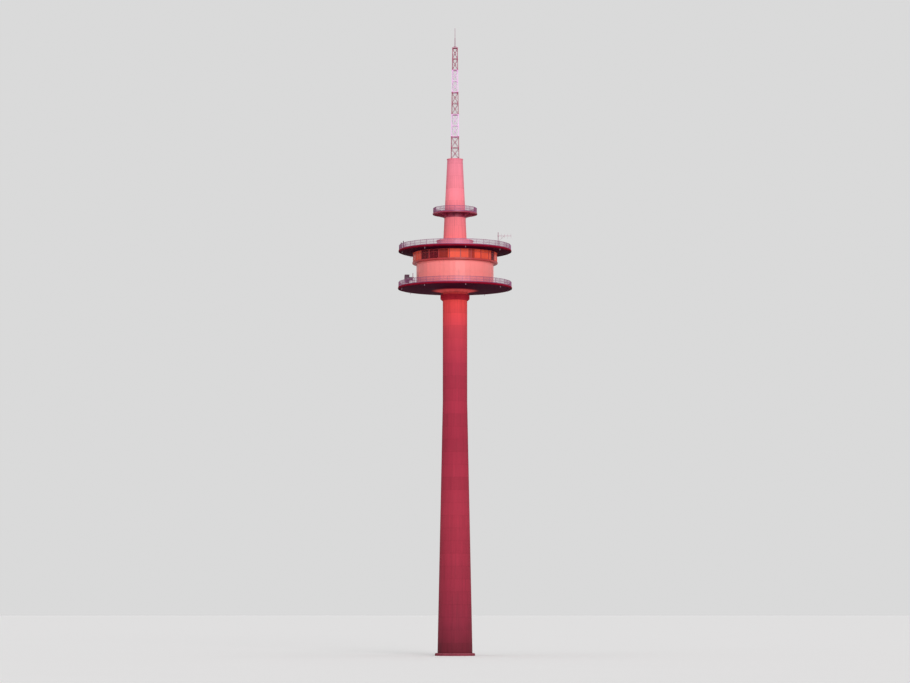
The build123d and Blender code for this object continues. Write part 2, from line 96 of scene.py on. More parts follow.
Number: TypeAlias = "float | Wire"
Pair: TypeAlias = tuple[float, float]
Size: TypeAlias = tuple[float, float, float]
Spot: TypeAlias = "Size | Vector"
Outline: TypeAlias = list[Pair]
Geometry: TypeAlias = "list[bmesh.types.BMVert | bmesh.types.BMEdge]"
Settings: TypeAlias = dict[str, object]
Sockets: TypeAlias = dict[str | int, object]


@dataclass(frozen=True)
class Tint:
    """A colour as it looks on a screen, each channel from 0 to 255."""

    red: float
    green: float
    blue: float

    def linear(self) -> tuple[float, float, float, float]:
        """The same colour in linear light.

        Returns:
            Red, green, blue and full alpha, each from 0 to 1.
        """
        light = []
        for value in (self.red, self.green, self.blue):
            share = value / SCREEN_WHITE
            curved = ((share + SCREEN_LIFT) / (1 + SCREEN_LIFT)) ** SCREEN_POWER
            light.append(share / SCREEN_SLOPE if share <= SCREEN_KNEE else curved)
        return (light[0], light[1], light[2], 1.0)


def math_method(operation: str, flipped: bool = False) -> Callable[..., "Wire"]:
    """Makes a method of Wire that adds one Math node.

    Args:
        operation: What the node works out.
        flipped: Whether the plain number stands first, as the reflected operators need.

    Returns:
        The method, which takes the other numbers and returns the node's result.
    """

    def method(wire: "Wire", *others: Number) -> "Wire":
        """Adds the node."""
        values = (*others, wire) if flipped else (wire, *others)
        return wire.tree.wire("ShaderNodeMath", {"operation": operation}, dict(enumerate(values)))

    return method


class Wire:
    """A number that runs through a node tree. Arithmetic on it adds Math nodes."""

    __add__, __radd__ = math_method("ADD"), math_method("ADD", flipped=True)
    __sub__, __rsub__ = math_method("SUBTRACT"), math_method("SUBTRACT", flipped=True)
    __mul__, __rmul__ = math_method("MULTIPLY"), math_method("MULTIPLY", flipped=True)
    __truediv__, __lt__ = math_method("DIVIDE"), math_method("LESS_THAN")
    __abs__, larger = math_method("ABSOLUTE"), math_method("MAXIMUM")
    floor, fraction = math_method("FLOOR"), math_method("FRACT")

    def __init__(self, tree: "Nodes", socket: bpy.types.NodeSocket) -> None:
        """Wraps an output socket of the tree."""
        self.tree = tree
        self.socket = socket

    def fade(self, low: float, high: float) -> "Wire":
        """Smooth step from nought at low to one at high; high may be the smaller one."""
        ends = {"Value": self, "From Min": low, "From Max": high}
        return self.tree.wire("ShaderNodeMapRange", {"interpolation_type": "SMOOTHSTEP"}, ends)

    def line(self, width: float) -> "Wire":
        """Thin soft line where the value passes a whole number, as wide as the share given."""
        return abs(self.fraction() - 0.5).fade(0.5 - width, 0.5 - width * LINE_CORE)


class Nodes:
    """A node tree that is filled one node at a time."""

    def __init__(self, tree: bpy.types.NodeTree) -> None:
        """Empties the tree."""
        self.nodes, self.links = tree.nodes, tree.links
        self.nodes.clear()

    def node(
        self, kind: str, settings: Settings | None = None, inputs: Sockets | None = None
    ) -> bpy.types.Node:
        """Adds a node.

        Args:
            kind: The node's type.
            settings: Its own settings, set first; stops holds a ramp's (place, colour) pairs.
            inputs: A value or a link for each of its sockets.

        Returns:
            The new node.
        """
        made = self.nodes.new(kind)
        for key, value in (settings or {}).items():
            if key == "stops":
                self._set_stops(made.color_ramp, value)
            else:
                setattr(made, key, value)
        for key, value in (inputs or {}).items():
            source = value.socket if isinstance(value, Wire) else value
            if isinstance(source, bpy.types.NodeSocket):
                self.links.new(source, made.inputs[key])
            else:
                made.inputs[key].default_value = source
        return made

    @staticmethod
    def _set_stops(ramp: bpy.types.ColorRamp, stops: tuple[tuple[float, Tint], ...]) -> None:
        """Fills a colour ramp.

        Args:
            ramp: The ramp, with its two first elements.
            stops: Place and colour of each stop.
        """
        while len(ramp.elements) < len(stops):
            ramp.elements.new(1.0)
        for element, (place, tint) in zip(ramp.elements, stops):
            element.position = place
            element.color = tint.linear()

    def wire(
        self,
        kind: str,
        settings: Settings | None = None,
        inputs: Sockets | None = None,
        output: int | str = 0,
    ) -> Wire:
        """Adds a node as node() does and returns one of its outputs, the first if none is named."""
        return Wire(self, self.node(kind, settings, inputs).outputs[output])


class ShaderTree(Nodes):
    """The nodes of one material, with the coordinates and patterns that the finishes share."""

    def __init__(self, name: str) -> None:
        """Makes an empty material.

        Args:
            name: Name of the material.
        """
        self.material = bpy.data.materials.new(name)
        self.material.use_nodes = True
        super().__init__(self.material.node_tree)
        self.coordinates = self.node("ShaderNodeTexCoord").outputs["Object"]
        split = self.node("ShaderNodeSeparateXYZ", inputs={0: self.coordinates})
        self.x, self.y, self.z = (Wire(self, output) for output in split.outputs)

    def facing_up(self) -> Wire:
        """Upward part of the surface's direction, from -1 to 1."""
        normal = self.node("ShaderNodeNewGeometry").outputs["Normal"]
        return self.wire("ShaderNodeSeparateXYZ", inputs={0: normal}, output=2)

    def turn(self) -> Wire:
        """Angle round the tower's axis in degrees, from -180 to 180."""
        return self.wire("ShaderNodeMath", {"operation": "ARCTAN2"}, {0: self.y, 1: self.x}) * degrees(1.0)

    def reach(self) -> Wire:
        """Distance from the tower's axis."""
        flat = {0: self.combine(self.x, self.y, 0.0)}
        return self.wire("ShaderNodeVectorMath", {"operation": "LENGTH"}, flat, "Value")

    def combine(self, x: Number, y: Number, z: Number) -> bpy.types.NodeSocket:
        """A vector from three numbers."""
        return self.node("ShaderNodeCombineXYZ", inputs={0: x, 1: y, 2: z}).outputs[0]

    def stretched(self, scale: Size) -> bpy.types.NodeSocket:
        """Object coordinates with each axis scaled by its own number."""
        sockets = {"Vector": self.coordinates, "Scale": scale}
        return self.node("ShaderNodeMapping", inputs=sockets).outputs[0]

    def dice(self, *cell: Number) -> Wire:
        """One random number around nought for each cell of three whole numbers."""
        vector = {"Vector": self.combine(*cell)}
        return self.wire("ShaderNodeTexWhiteNoise", {"noise_dimensions": "3D"}, vector) - 0.5

    def mix(self, share: Number, first: object, second: object, blend: str = "MIX") -> bpy.types.NodeSocket:
        """Mixes two colours.

        Args:
            share: Share of the second colour.
            first: Tint or link.
            second: Tint or link.
            blend: How the colours meet.

        Returns:
            The mixed colour.
        """
        pair = [colour.linear() if isinstance(colour, Tint) else colour for colour in (first, second)]
        settings = {"data_type": "RGBA", "blend_type": blend}
        sockets = {MIX_SHARE: share, MIX_FIRST: pair[0], MIX_SECOND: pair[1]}
        return self.node("ShaderNodeMix", settings, sockets).outputs[MIX_RESULT]


@dataclass(frozen=True)
class Layer:
    """One pattern of a finish, and what it does to the tone, the roughness and the relief.

    Scale belongs to noise, span to what fades in between two values, and seed to random cells.
    """

    tone: float = 0.0
    roughness: float = 0.0
    relief: float = 0.0
    scale: float = 1.0
    span: Pair | None = None
    seed: float = 0.0


class Surface:
    """Adds up what the layers of a finish do, and closes its material."""

    def __init__(self, tree: ShaderTree, roughness: float, relief: float) -> None:
        """Starts bare.

        Args:
            tree: The material's nodes.
            roughness: Roughness without any layer.
            relief: Depth that a height of one stands for.
        """
        self.tree = tree
        self.tone: Number = 1.0
        self.roughness: Number = roughness
        self.height: Number = 0.0
        self.relief = relief

    def add(self, layer: Layer, pattern: Wire) -> Wire:
        """Lays a pattern over the surface.

        Args:
            layer: What the pattern does.
            pattern: The pattern itself.

        Returns:
            The pattern, for further use.
        """
        if layer.tone:
            self.tone = pattern * layer.tone + self.tone
        if layer.roughness:
            self.roughness = pattern * layer.roughness + self.roughness
        if layer.relief:
            self.height = pattern * layer.relief + self.height
        return pattern

    def cloud(self, layer: Layer, vector: bpy.types.NodeSocket | None = None) -> Wire:
        """Lays soft noise over the surface.

        Args:
            layer: What it does, its scale, and the span over which it is sharpened.
            vector: Its coordinates, or nothing for the object's own.

        Returns:
            The noise, around nought unless it is sharpened to run from nought to one.
        """
        place = {"Vector": vector or self.tree.coordinates, "Scale": layer.scale}
        grain = {"Detail": NOISE_DETAIL, "Roughness": NOISE_ROUGHNESS}
        noise = self.tree.wire("ShaderNodeTexNoise", inputs={**place, **grain})
        return self.add(layer, noise.fade(*layer.span) if layer.span else noise - 0.5)

    def scatter(self, layer: Layer, *cell: Number) -> None:
        """Gives each cell, which two whole numbers count, a random share of the layer."""
        self.add(layer, self.tree.dice(*cell, layer.seed))

    def close(
        self, colour: object, grime: tuple[Wire, Tint] | None = None, specular: float = 0.5, **extra: object
    ) -> bpy.types.Material:
        """Ends the material with a Principled shader.

        Args:
            colour: Tint or link of the bare colour.
            grime: Share and colour of the dirt that lies over it, or nothing.
            specular: Level of the shader's mirror light.
            extra: Values and links of further sockets.

        Returns:
            The finished material.
        """
        tree = self.tree
        shown = tree.mix(1.0, colour, tree.combine(self.tone, self.tone, self.tone), "MULTIPLY")
        if grime:
            shown = tree.mix(grime[0], shown, grime[1])
        bump = {"Height": self.height, "Distance": self.relief}
        normal = tree.node("ShaderNodeBump", inputs=bump).outputs[0]
        sockets = {"Base Color": shown, "Roughness": self.roughness, "Normal": normal, **extra}
        sockets["Specular IOR Level"] = specular
        shader = tree.node("ShaderNodeBsdfPrincipled", inputs=sockets)
        tree.node("ShaderNodeOutputMaterial", inputs={"Surface": shader.outputs[0]})
        return tree.material


@dataclass(frozen=True)
class Concrete:
    """Board-marked concrete, cast in lifts against flat panels and streaked by rain, coloured by a ramp up
    its height that holds painted light and shade.
    """

    name: str
    stops: tuple[tuple[float, Tint], ...]
    span: float = 10.0
    roughness: float = 0.82
    specular: float = 0.22
    relief: float = 0.0011
    lift: float = 0.25
    lifts_per_pour: int = 2
    boards: int = 4
    lift_gap: float = 0.009
    board_gap: float = 0.03
    tie_rows: Pair = (0.22, 0.78)
    tie_radius: float = 0.0034
    panel_width: float = 0.036
    dirt_heights: Pair = (0.75, 0.1)
    dirt_wave: float = 0.3
    streak_stretch: Pair = (0.9, 0.12)
    trickle_stretch: Pair = (5.0, 0.3)
    grain_stretch: Size = (1.0, 1.0, 0.08)
    panel_tone: Layer = Layer(tone=0.07, seed=3.0)
    lift_tone: Layer = Layer(tone=0.12, seed=7.0)
    pour_tone: Layer = Layer(tone=0.1, seed=8.0)
    board_tone: Layer = Layer(tone=0.05, relief=0.2, seed=11.0)
    streak: Layer = Layer(tone=-0.17, roughness=-0.08, scale=1.6, span=(0.48, 0.74))
    trickle: Layer = Layer(tone=-0.085, scale=1.2, span=(0.5, 0.8))
    blotch: Layer = Layer(tone=0.2, roughness=0.2, scale=2.4)
    grain: Layer = Layer(tone=0.05, relief=0.3, scale=260.0)
    pores: Layer = Layer(tone=-0.08, relief=-0.3, scale=420.0, span=(0.66, 0.74))
    lift_joint: Layer = Layer(tone=-0.2, relief=-1.0)
    board_joint: Layer = Layer(tone=-0.05, relief=-0.3)
    tie_hole: Layer = Layer(tone=-0.3, relief=-1.0)
    dirt: Layer = Layer(tone=-0.3)

    def build(self) -> bpy.types.Material:
        """Builds the material.

        Returns:
            The finished material.
        """
        tree = ShaderTree(self.name)
        surface = Surface(tree, self.roughness, self.relief)
        panel, storey = tree.turn() / FORMWORK_STEP, tree.z / self.lift
        board, level = panel * self.boards, storey.floor()
        surface.scatter(self.panel_tone, panel.floor(), level)
        surface.scatter(self.lift_tone, 0.0, level)
        surface.scatter(self.pour_tone, 0.0, (storey / self.lifts_per_pour).floor())
        surface.scatter(self.board_tone, board.floor(), level)

        # The streaks follow the panels, so that they run down the wall as it narrows
        streaks = ((self.streak, self.streak_stretch), (self.trickle, self.trickle_stretch))
        for layer, (across, along) in streaks:
            surface.cloud(layer, tree.combine(panel * across, storey * along, layer.scale))
        blotch = surface.cloud(self.blotch)
        surface.cloud(self.grain, tree.stretched(self.grain_stretch))
        surface.cloud(self.pores)
        surface.add(self.lift_joint, storey.line(self.lift_gap))
        surface.add(self.board_joint, board.line(self.board_gap))
        surface.add(self.tie_hole, self._tie_holes(panel, storey))
        surface.add(self.dirt, (tree.z + blotch * self.dirt_wave).fade(*self.dirt_heights))
        # The ramp up the height paints light and shade into the colour: darker low down, bright near the
        # head.
        ramp = tree.node("ShaderNodeValToRGB", {"stops": self.stops}, {0: tree.z / self.span})
        return surface.close(ramp.outputs[0], specular=self.specular)

    def _tie_holes(self, panel: Wire, storey: Wire) -> Wire:
        """Round holes of the formwork ties, two to a panel of each lift.

        Args:
            panel: Count of panels round the wall.
            storey: Count of lifts up the wall.

        Returns:
            One inside a hole, nought outside.
        """
        across = (panel.fraction() - 0.5) * self.panel_width
        rows = [(storey.fraction() - share) * self.lift for share in self.tie_rows]
        edge = self.tie_radius**2
        holes = [(across * across + row * row).fade(edge, edge / 2) for row in rows]
        return holes[0].larger(holes[1])


@dataclass(frozen=True)
class SlabConcrete:
    """Concrete of the slabs: near black below in painted shade, dark at the rim partly in painted shade,
    stained all over, and pale and walked on above.
    """

    name: str
    # Painted shade: the near-black colour of the underside.
    below: Tint
    above: Tint
    # Dark red of the rim, partly painted shade.
    rim: Tint
    # Painted light: a lit red patch on the underside near the tower's axis, fading out with the distance
    # from it.
    root: Tint = Tint(228, 86, 86)
    painted_light_root_span: Pair = (0.5, 0.3)
    rim_span: Pair = (-0.8, -0.3)
    top_span: Pair = (0.5, 0.9)
    roughness: float = 0.86
    specular: float = 0.02
    relief: float = 0.0008
    slabs_per_metre: float = 4.5
    joint_gap: float = 0.012
    stain_stretch: Size = (0.7, 1.2, 12.0)
    scuff_stretch: Size = (1.0, 1.0, 0.1)
    board_tone: Layer = Layer(tone=0.14, seed=1.0)
    blotch: Layer = Layer(tone=0.36, roughness=0.2, scale=3.1)
    stain: Layer = Layer(tone=-0.2, relief=-0.2, scale=1.5, span=(0.45, 0.75))
    grain: Layer = Layer(tone=0.05, relief=0.5, scale=330.0)
    scuff: Layer = Layer(tone=-0.08, scale=18.0, span=(0.5, 0.75))
    joint: Layer = Layer(tone=-0.25, relief=-1.0)

    def build(self) -> bpy.types.Material:
        """Builds the material.

        Returns:
            The finished material.
        """
        tree = ShaderTree(self.name)
        surface = Surface(tree, self.roughness, self.relief)
        panel, reach = tree.turn() / FORMWORK_STEP, tree.reach()
        row = reach * self.slabs_per_metre
        across, out, along = self.stain_stretch
        surface.scatter(self.board_tone, panel.floor(), row.floor())
        surface.cloud(self.blotch)
        surface.cloud(self.stain, tree.combine(panel * across, reach * out, tree.z * along))
        surface.cloud(self.grain)
        surface.cloud(self.scuff, tree.stretched(self.scuff_stretch))
        surface.add(self.joint, panel.line(self.joint_gap).larger(row.line(self.joint_gap)))
        # Painted shade makes the underside near black and the rim darker, with a painted lit patch near the
        # shaft; the top keeps its pale colour.
        up = tree.facing_up()
        underside = tree.mix(reach.fade(*self.painted_light_root_span), self.below, self.root)
        side = tree.mix(up.fade(*self.rim_span), underside, self.rim)
        colour = tree.mix(up.fade(*self.top_span), side, self.above)
        return surface.close(colour, specular=self.specular)


@dataclass(frozen=True)
class Paint:
    """Satin paint on sheet or bars, with fading, runs of dirt and a faint wave in the metal; panelled
    sheets also get painted shade low on the cabin wall.
    """

    name: str
    tint: Tint
    panels: int = 1
    ribs: int = 1
    roughness: float = 0.45
    relief: float = 0.003
    row: float = 7.519
    rib_gap: float = 0.12
    run_stretch: Size = (14.0, 14.0, 1.4)
    cloud: Layer = Layer(tone=0.2, roughness=0.2, scale=5.0)
    speck: Layer = Layer(tone=0.06, relief=0.05, scale=160.0)
    run: Layer = Layer(tone=-0.1, scale=1.5, span=(0.5, 0.78))
    wave: Layer = Layer(relief=1.0, scale=9.0)
    sheet: Layer = Layer(tone=0.1, seed=5.0)
    rib: Layer = Layer(tone=-0.05, relief=-0.25)
    # Painted shade at the foot of the cabin wall, just above the lower slab.
    foot: Layer = Layer(tone=-0.12, span=(CABIN_FOOT + 0.06, CABIN_FOOT))
    grime: Tint = Tint(74, 48, 50)
    grime_share: float = 0.12
    grime_span: Pair = (0.04, 0.4)

    def build(self) -> bpy.types.Material:
        """Builds the material.

        Returns:
            The finished material.
        """
        tree = ShaderTree(self.name)
        surface = Surface(tree, self.roughness, self.relief)
        cloud, speck = surface.cloud(self.cloud), surface.cloud(self.speck)
        surface.cloud(self.run, tree.stretched(self.run_stretch))
        surface.cloud(self.wave)
        if self.panels > 1:
            sheet = (tree.turn() * (self.panels / TURN)).floor()
            surface.scatter(self.sheet, sheet, tree.z < self.row)
            # Painted shade: the sheets darken towards the foot of the cabin wall.
            surface.add(self.foot, tree.z.fade(*self.foot.span))
        if self.ribs > 1:
            surface.add(self.rib, (tree.turn() * (self.ribs / TURN)).line(self.rib_gap))
        dirt = (speck + cloud).fade(*self.grime_span) * self.grime_share
        return surface.close(self.tint, (dirt, self.grime))


@dataclass(frozen=True)
class Galvanised:
    """Zinc-coated steel with its crystal pattern, dulled by weather."""

    name: str
    tint: Tint
    spangle: float = 120.0
    metallic: float = 0.3
    roughness: float = 0.48
    relief: float = 0.0002
    crystal: Layer = Layer(tone=0.25, roughness=0.12, relief=0.4)
    dull: Layer = Layer(tone=0.3, roughness=0.3, scale=7.0)
    speck: Layer = Layer(tone=0.1, relief=1.0, scale=240.0)

    def build(self) -> bpy.types.Material:
        """Builds the material.

        Returns:
            The finished material.
        """
        tree = ShaderTree(self.name)
        surface = Surface(tree, self.roughness, self.relief)
        cells = {"Vector": tree.coordinates, "Scale": self.spangle}
        surface.add(self.crystal, tree.wire("ShaderNodeTexVoronoi", {"feature": "F1"}, cells) - 0.5)
        surface.cloud(self.dull)
        surface.cloud(self.speck)
        return surface.close(self.tint, Metallic=self.metallic)


@dataclass(frozen=True)
class PaintedShadePane:
    """A stretch of the window band whose glass gets painted shade, where no blind hangs behind it, with all
    its angles in degrees.
    """

    turn: float
    width: float = 15.0
    depth: float = 1.0


@dataclass(frozen=True)
class SunGlass:
    """Tinted panes whose orange-red is partly the glass's own tint and partly a painted reflection of the
    low light, with painted shade of the unlit room where no blind hangs behind them.
    """

    name: str
    # Orange-red, partly the glass's own tint and partly a painted reflection of the low sun.
    bright: Tint
    # Painted shade of the unlit room behind the panes that have no blind down.
    dark: Tint
    painted_shade_panes: tuple[PaintedShadePane, ...]
    panes: int = 24
    roughness: float = 0.24
    specular: float = 0.16
    relief: float = 0.0006
    clear: float = 0.86
    clear_loss: float = 0.1
    own_tone: Layer = Layer(tone=0.24, seed=9.0)
    dust: Layer = Layer(tone=0.12, roughness=0.12, scale=30.0)
    wave: Layer = Layer(relief=1.0, scale=6.0)
    foot: Layer = Layer(tone=-0.1, roughness=0.3, span=(WINDOW_FOOT + 0.045, WINDOW_FOOT))

    def build(self) -> bpy.types.Material:
        """Builds the material.

        Returns:
            The finished material.
        """
        tree = ShaderTree(self.name)
        surface = Surface(tree, self.roughness, self.relief)
        turn = tree.turn()
        surface.scatter(self.own_tone, (turn * (self.panes / TURN) + 0.5).floor(), 0.0)
        surface.cloud(self.dust)
        surface.cloud(self.wave)
        surface.add(self.foot, tree.z.fade(*self.foot.span))
        # Painted shade: the glass darkens over the listed stretches where the room behind shows.
        shadow: Number = 0.0
        for pane in self.painted_shade_panes:
            shadow = ((abs(turn - pane.turn) < pane.width / 2) * pane.depth).larger(shadow)
        colour, seen = tree.mix(shadow, self.bright, self.dark), self.clear - shadow * self.clear_loss
        return surface.close(colour, specular=self.specular, Alpha=seen)


@dataclass(frozen=True)
class Plastic:
    """Weathered glass-fibre or moulded plastic."""

    name: str
    tint: Tint
    roughness: float = 0.55
    relief: float = 0.0002
    fibre_stretch: Size = (1.0, 1.0, 0.2)
    cloud: Layer = Layer(tone=0.18, roughness=0.2, scale=14.0)
    fibre: Layer = Layer(tone=0.1, relief=1.0, scale=380.0)
    chalk: Layer = Layer(tone=0.12, span=(0.2, 1.0))

    def build(self) -> bpy.types.Material:
        """Builds the material.

        Returns:
            The finished material.
        """
        tree = ShaderTree(self.name)
        surface = Surface(tree, self.roughness, self.relief)
        surface.cloud(self.cloud)
        surface.cloud(self.fibre, tree.stretched(self.fibre_stretch))
        surface.add(self.chalk, tree.facing_up().fade(*self.chalk.span))
        return surface.close(self.tint)


@dataclass(frozen=True)
class StudioFloor:
    """Plain pale studio floor."""

    name: str
    tint: Tint
    roughness: float = 0.9
    relief: float = 1e-6
    cloud: Layer = Layer(tone=0.02, scale=0.35)

    def build(self) -> bpy.types.Material:
        """Builds the material.

        Returns:
            The finished material.
        """
        surface = Surface(ShaderTree(self.name), self.roughness, self.relief)
        surface.cloud(self.cloud)
        return surface.close(self.tint)


# Rose concrete with painted light: darker towards the foot in painted shade, and brightest as painted
# sunlight from just under the lower platform up to the tip.
SHAFT_TINTS_WITH_PAINTED_LIGHT = (
    (0.0, Tint(126, 36, 54)),
    (0.06, Tint(136, 38, 58)),
    (0.12, Tint(146, 40, 60)),
    (0.26, Tint(164, 46, 66)),
    (0.42, Tint(156, 40, 62)),
    (0.57, Tint(170, 46, 68)),
    (0.64, Tint(196, 60, 74)),
    (0.7, Tint(236, 72, 72)),
    (0.8, Tint(252, 126, 130)),
    (1.0, Tint(232, 132, 152)),
)
FOOTING_TINT = Tint(136, 58, 72)
COLLAR_TINT = Tint(162, 34, 48)
# Stretches of the window band where the glass gets painted shade.
PAINTED_SHADE_PANES = (
    PaintedShadePane(-135.0),
    PaintedShadePane(-120.0),
    PaintedShadePane(-106.0, width=13.0, depth=0.75),
    PaintedShadePane(-67.0, width=9.0, depth=0.6),
    PaintedShadePane(-26.0, width=11.0),
    PaintedShadePane(30.0),
    PaintedShadePane(105.0),
)


class Finish(Enum):
    """Every finish of the tower, after the record's slot that it stands for."""

    SHAFT = ("shaft_concrete", Concrete("shaft_concrete_boarded", SHAFT_TINTS_WITH_PAINTED_LIGHT))
    # The slab's near-black underside tint is painted shade and its dark-red rim tint is partly painted
    # shade.
    SLAB = (
        "platform_concrete",
        SlabConcrete("slab_concrete", Tint(58, 6, 30), Tint(150, 96, 102), Tint(136, 14, 38)),
    )
    FOOTING = (
        "platform_concrete",
        SlabConcrete("footing_concrete", FOOTING_TINT, Tint(160, 96, 104), FOOTING_TINT),
    )
    COLLAR = (
        "platform_concrete",
        SlabConcrete("collar_concrete", COLLAR_TINT, Tint(150, 60, 64), COLLAR_TINT, COLLAR_TINT),
    )
    CLADDING = ("cabin_cladding", Paint("cabin_cladding_paint", Tint(255, 136, 134), panels=16, ribs=240))
    DRUM = ("cabin_cladding", Paint("roof_drum_paint", Tint(240, 132, 148), panels=16))
    WINDOW_FRAME = ("window_frame", Paint("window_frame_paint", Tint(180, 52, 56), roughness=0.5))
    # The pane tints hold a painted reflection of the low sun and painted shade of the room behind.
    PANE = ("window_pane", SunGlass("sun_glass", Tint(255, 92, 68), Tint(112, 20, 34), PAINTED_SHADE_PANES))
    BLIND = ("cabin_cladding", Plastic("blind_slats", Tint(250, 130, 96), roughness=0.6))
    DOOR = ("door_paint", Paint("door_paint_satin", Tint(164, 104, 106), roughness=0.4, grime_share=0.2))
    RAILING = ("galvanised_steel", Galvanised("railing_zinc", Tint(148, 86, 124)))
    FITTING = ("galvanised_steel", Galvanised("fitting_zinc", Tint(162, 126, 140), spangle=200.0))
    RING = ("ring_steel", Paint("ring_walkway_paint", Tint(156, 42, 74), roughness=0.5))
    MAST_RED = ("mast_red", Paint("mast_red_paint", Tint(150, 26, 76), roughness=0.42))
    MAST_WHITE = ("mast_white", Paint("mast_white_paint", Tint(232, 180, 226), grime_share=0.2))
    SHROUD = ("antenna_plastic", Plastic("antenna_shroud", Tint(88, 56, 74)))
    RADOME = ("antenna_plastic", Plastic("antenna_radome", Tint(126, 88, 104), roughness=0.45))
    CABLE = ("antenna_plastic", Plastic("black_rubber", Tint(46, 34, 38), roughness=0.7))
    FLOOR = ("", StudioFloor("studio_floor", Tint(246, 245, 245)))


class Workshop:
    """Builds each finish once and hands it out as a shared material."""

    def __init__(self) -> None:
        """Starts with nothing built."""
        self.built: dict[Finish, bpy.types.Material] = {}

    def material(self, finish: Finish) -> bpy.types.Material:
        """Looks up a finish.

        Args:
            finish: The finish that is wanted.

        Returns:
            Its material, built when it is first asked for.
        """
        if finish not in self.built:
            self.built[finish] = finish.value[1].build()
        return self.built[finish]

    def dress(self, finish: Finish, *nodes: str) -> None:
        """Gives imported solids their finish.

        Args:
            finish: The finish.
            nodes: Names of the solids.
        """
        for node in nodes:
            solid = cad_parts[node]
            if not solid.material_slots:
                solid.data.materials.append(None)
            for slot in solid.material_slots:
                slot.material = self.material(finish)


def polar(radius: float, turn: float, height: float) -> Vector:
    """Point at a distance from the axis, an angle in degrees and a height."""
    return Vector((radius * cos(radians(turn)), radius * sin(radians(turn)), height))


def standing(radius: float, turn: float, height: float) -> Matrix:
    """Place on a round wall: local x points outwards, y runs along the wall and z goes up."""
    return Matrix.Translation(polar(radius, turn, height)) @ Matrix.Rotation(radians(turn), 4, "Z")


def corners(node: str) -> list[Vector]:
    """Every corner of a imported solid's mesh."""
    return [vert.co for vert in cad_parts[node].data.vertices]


def edges_at(verts: list[bmesh.types.BMVert]) -> list[bmesh.types.BMEdge]:
    """Every edge that meets some corners, each once and in the same order on every run."""
    return list(dict.fromkeys(edge for vert in verts for edge in vert.link_edges))


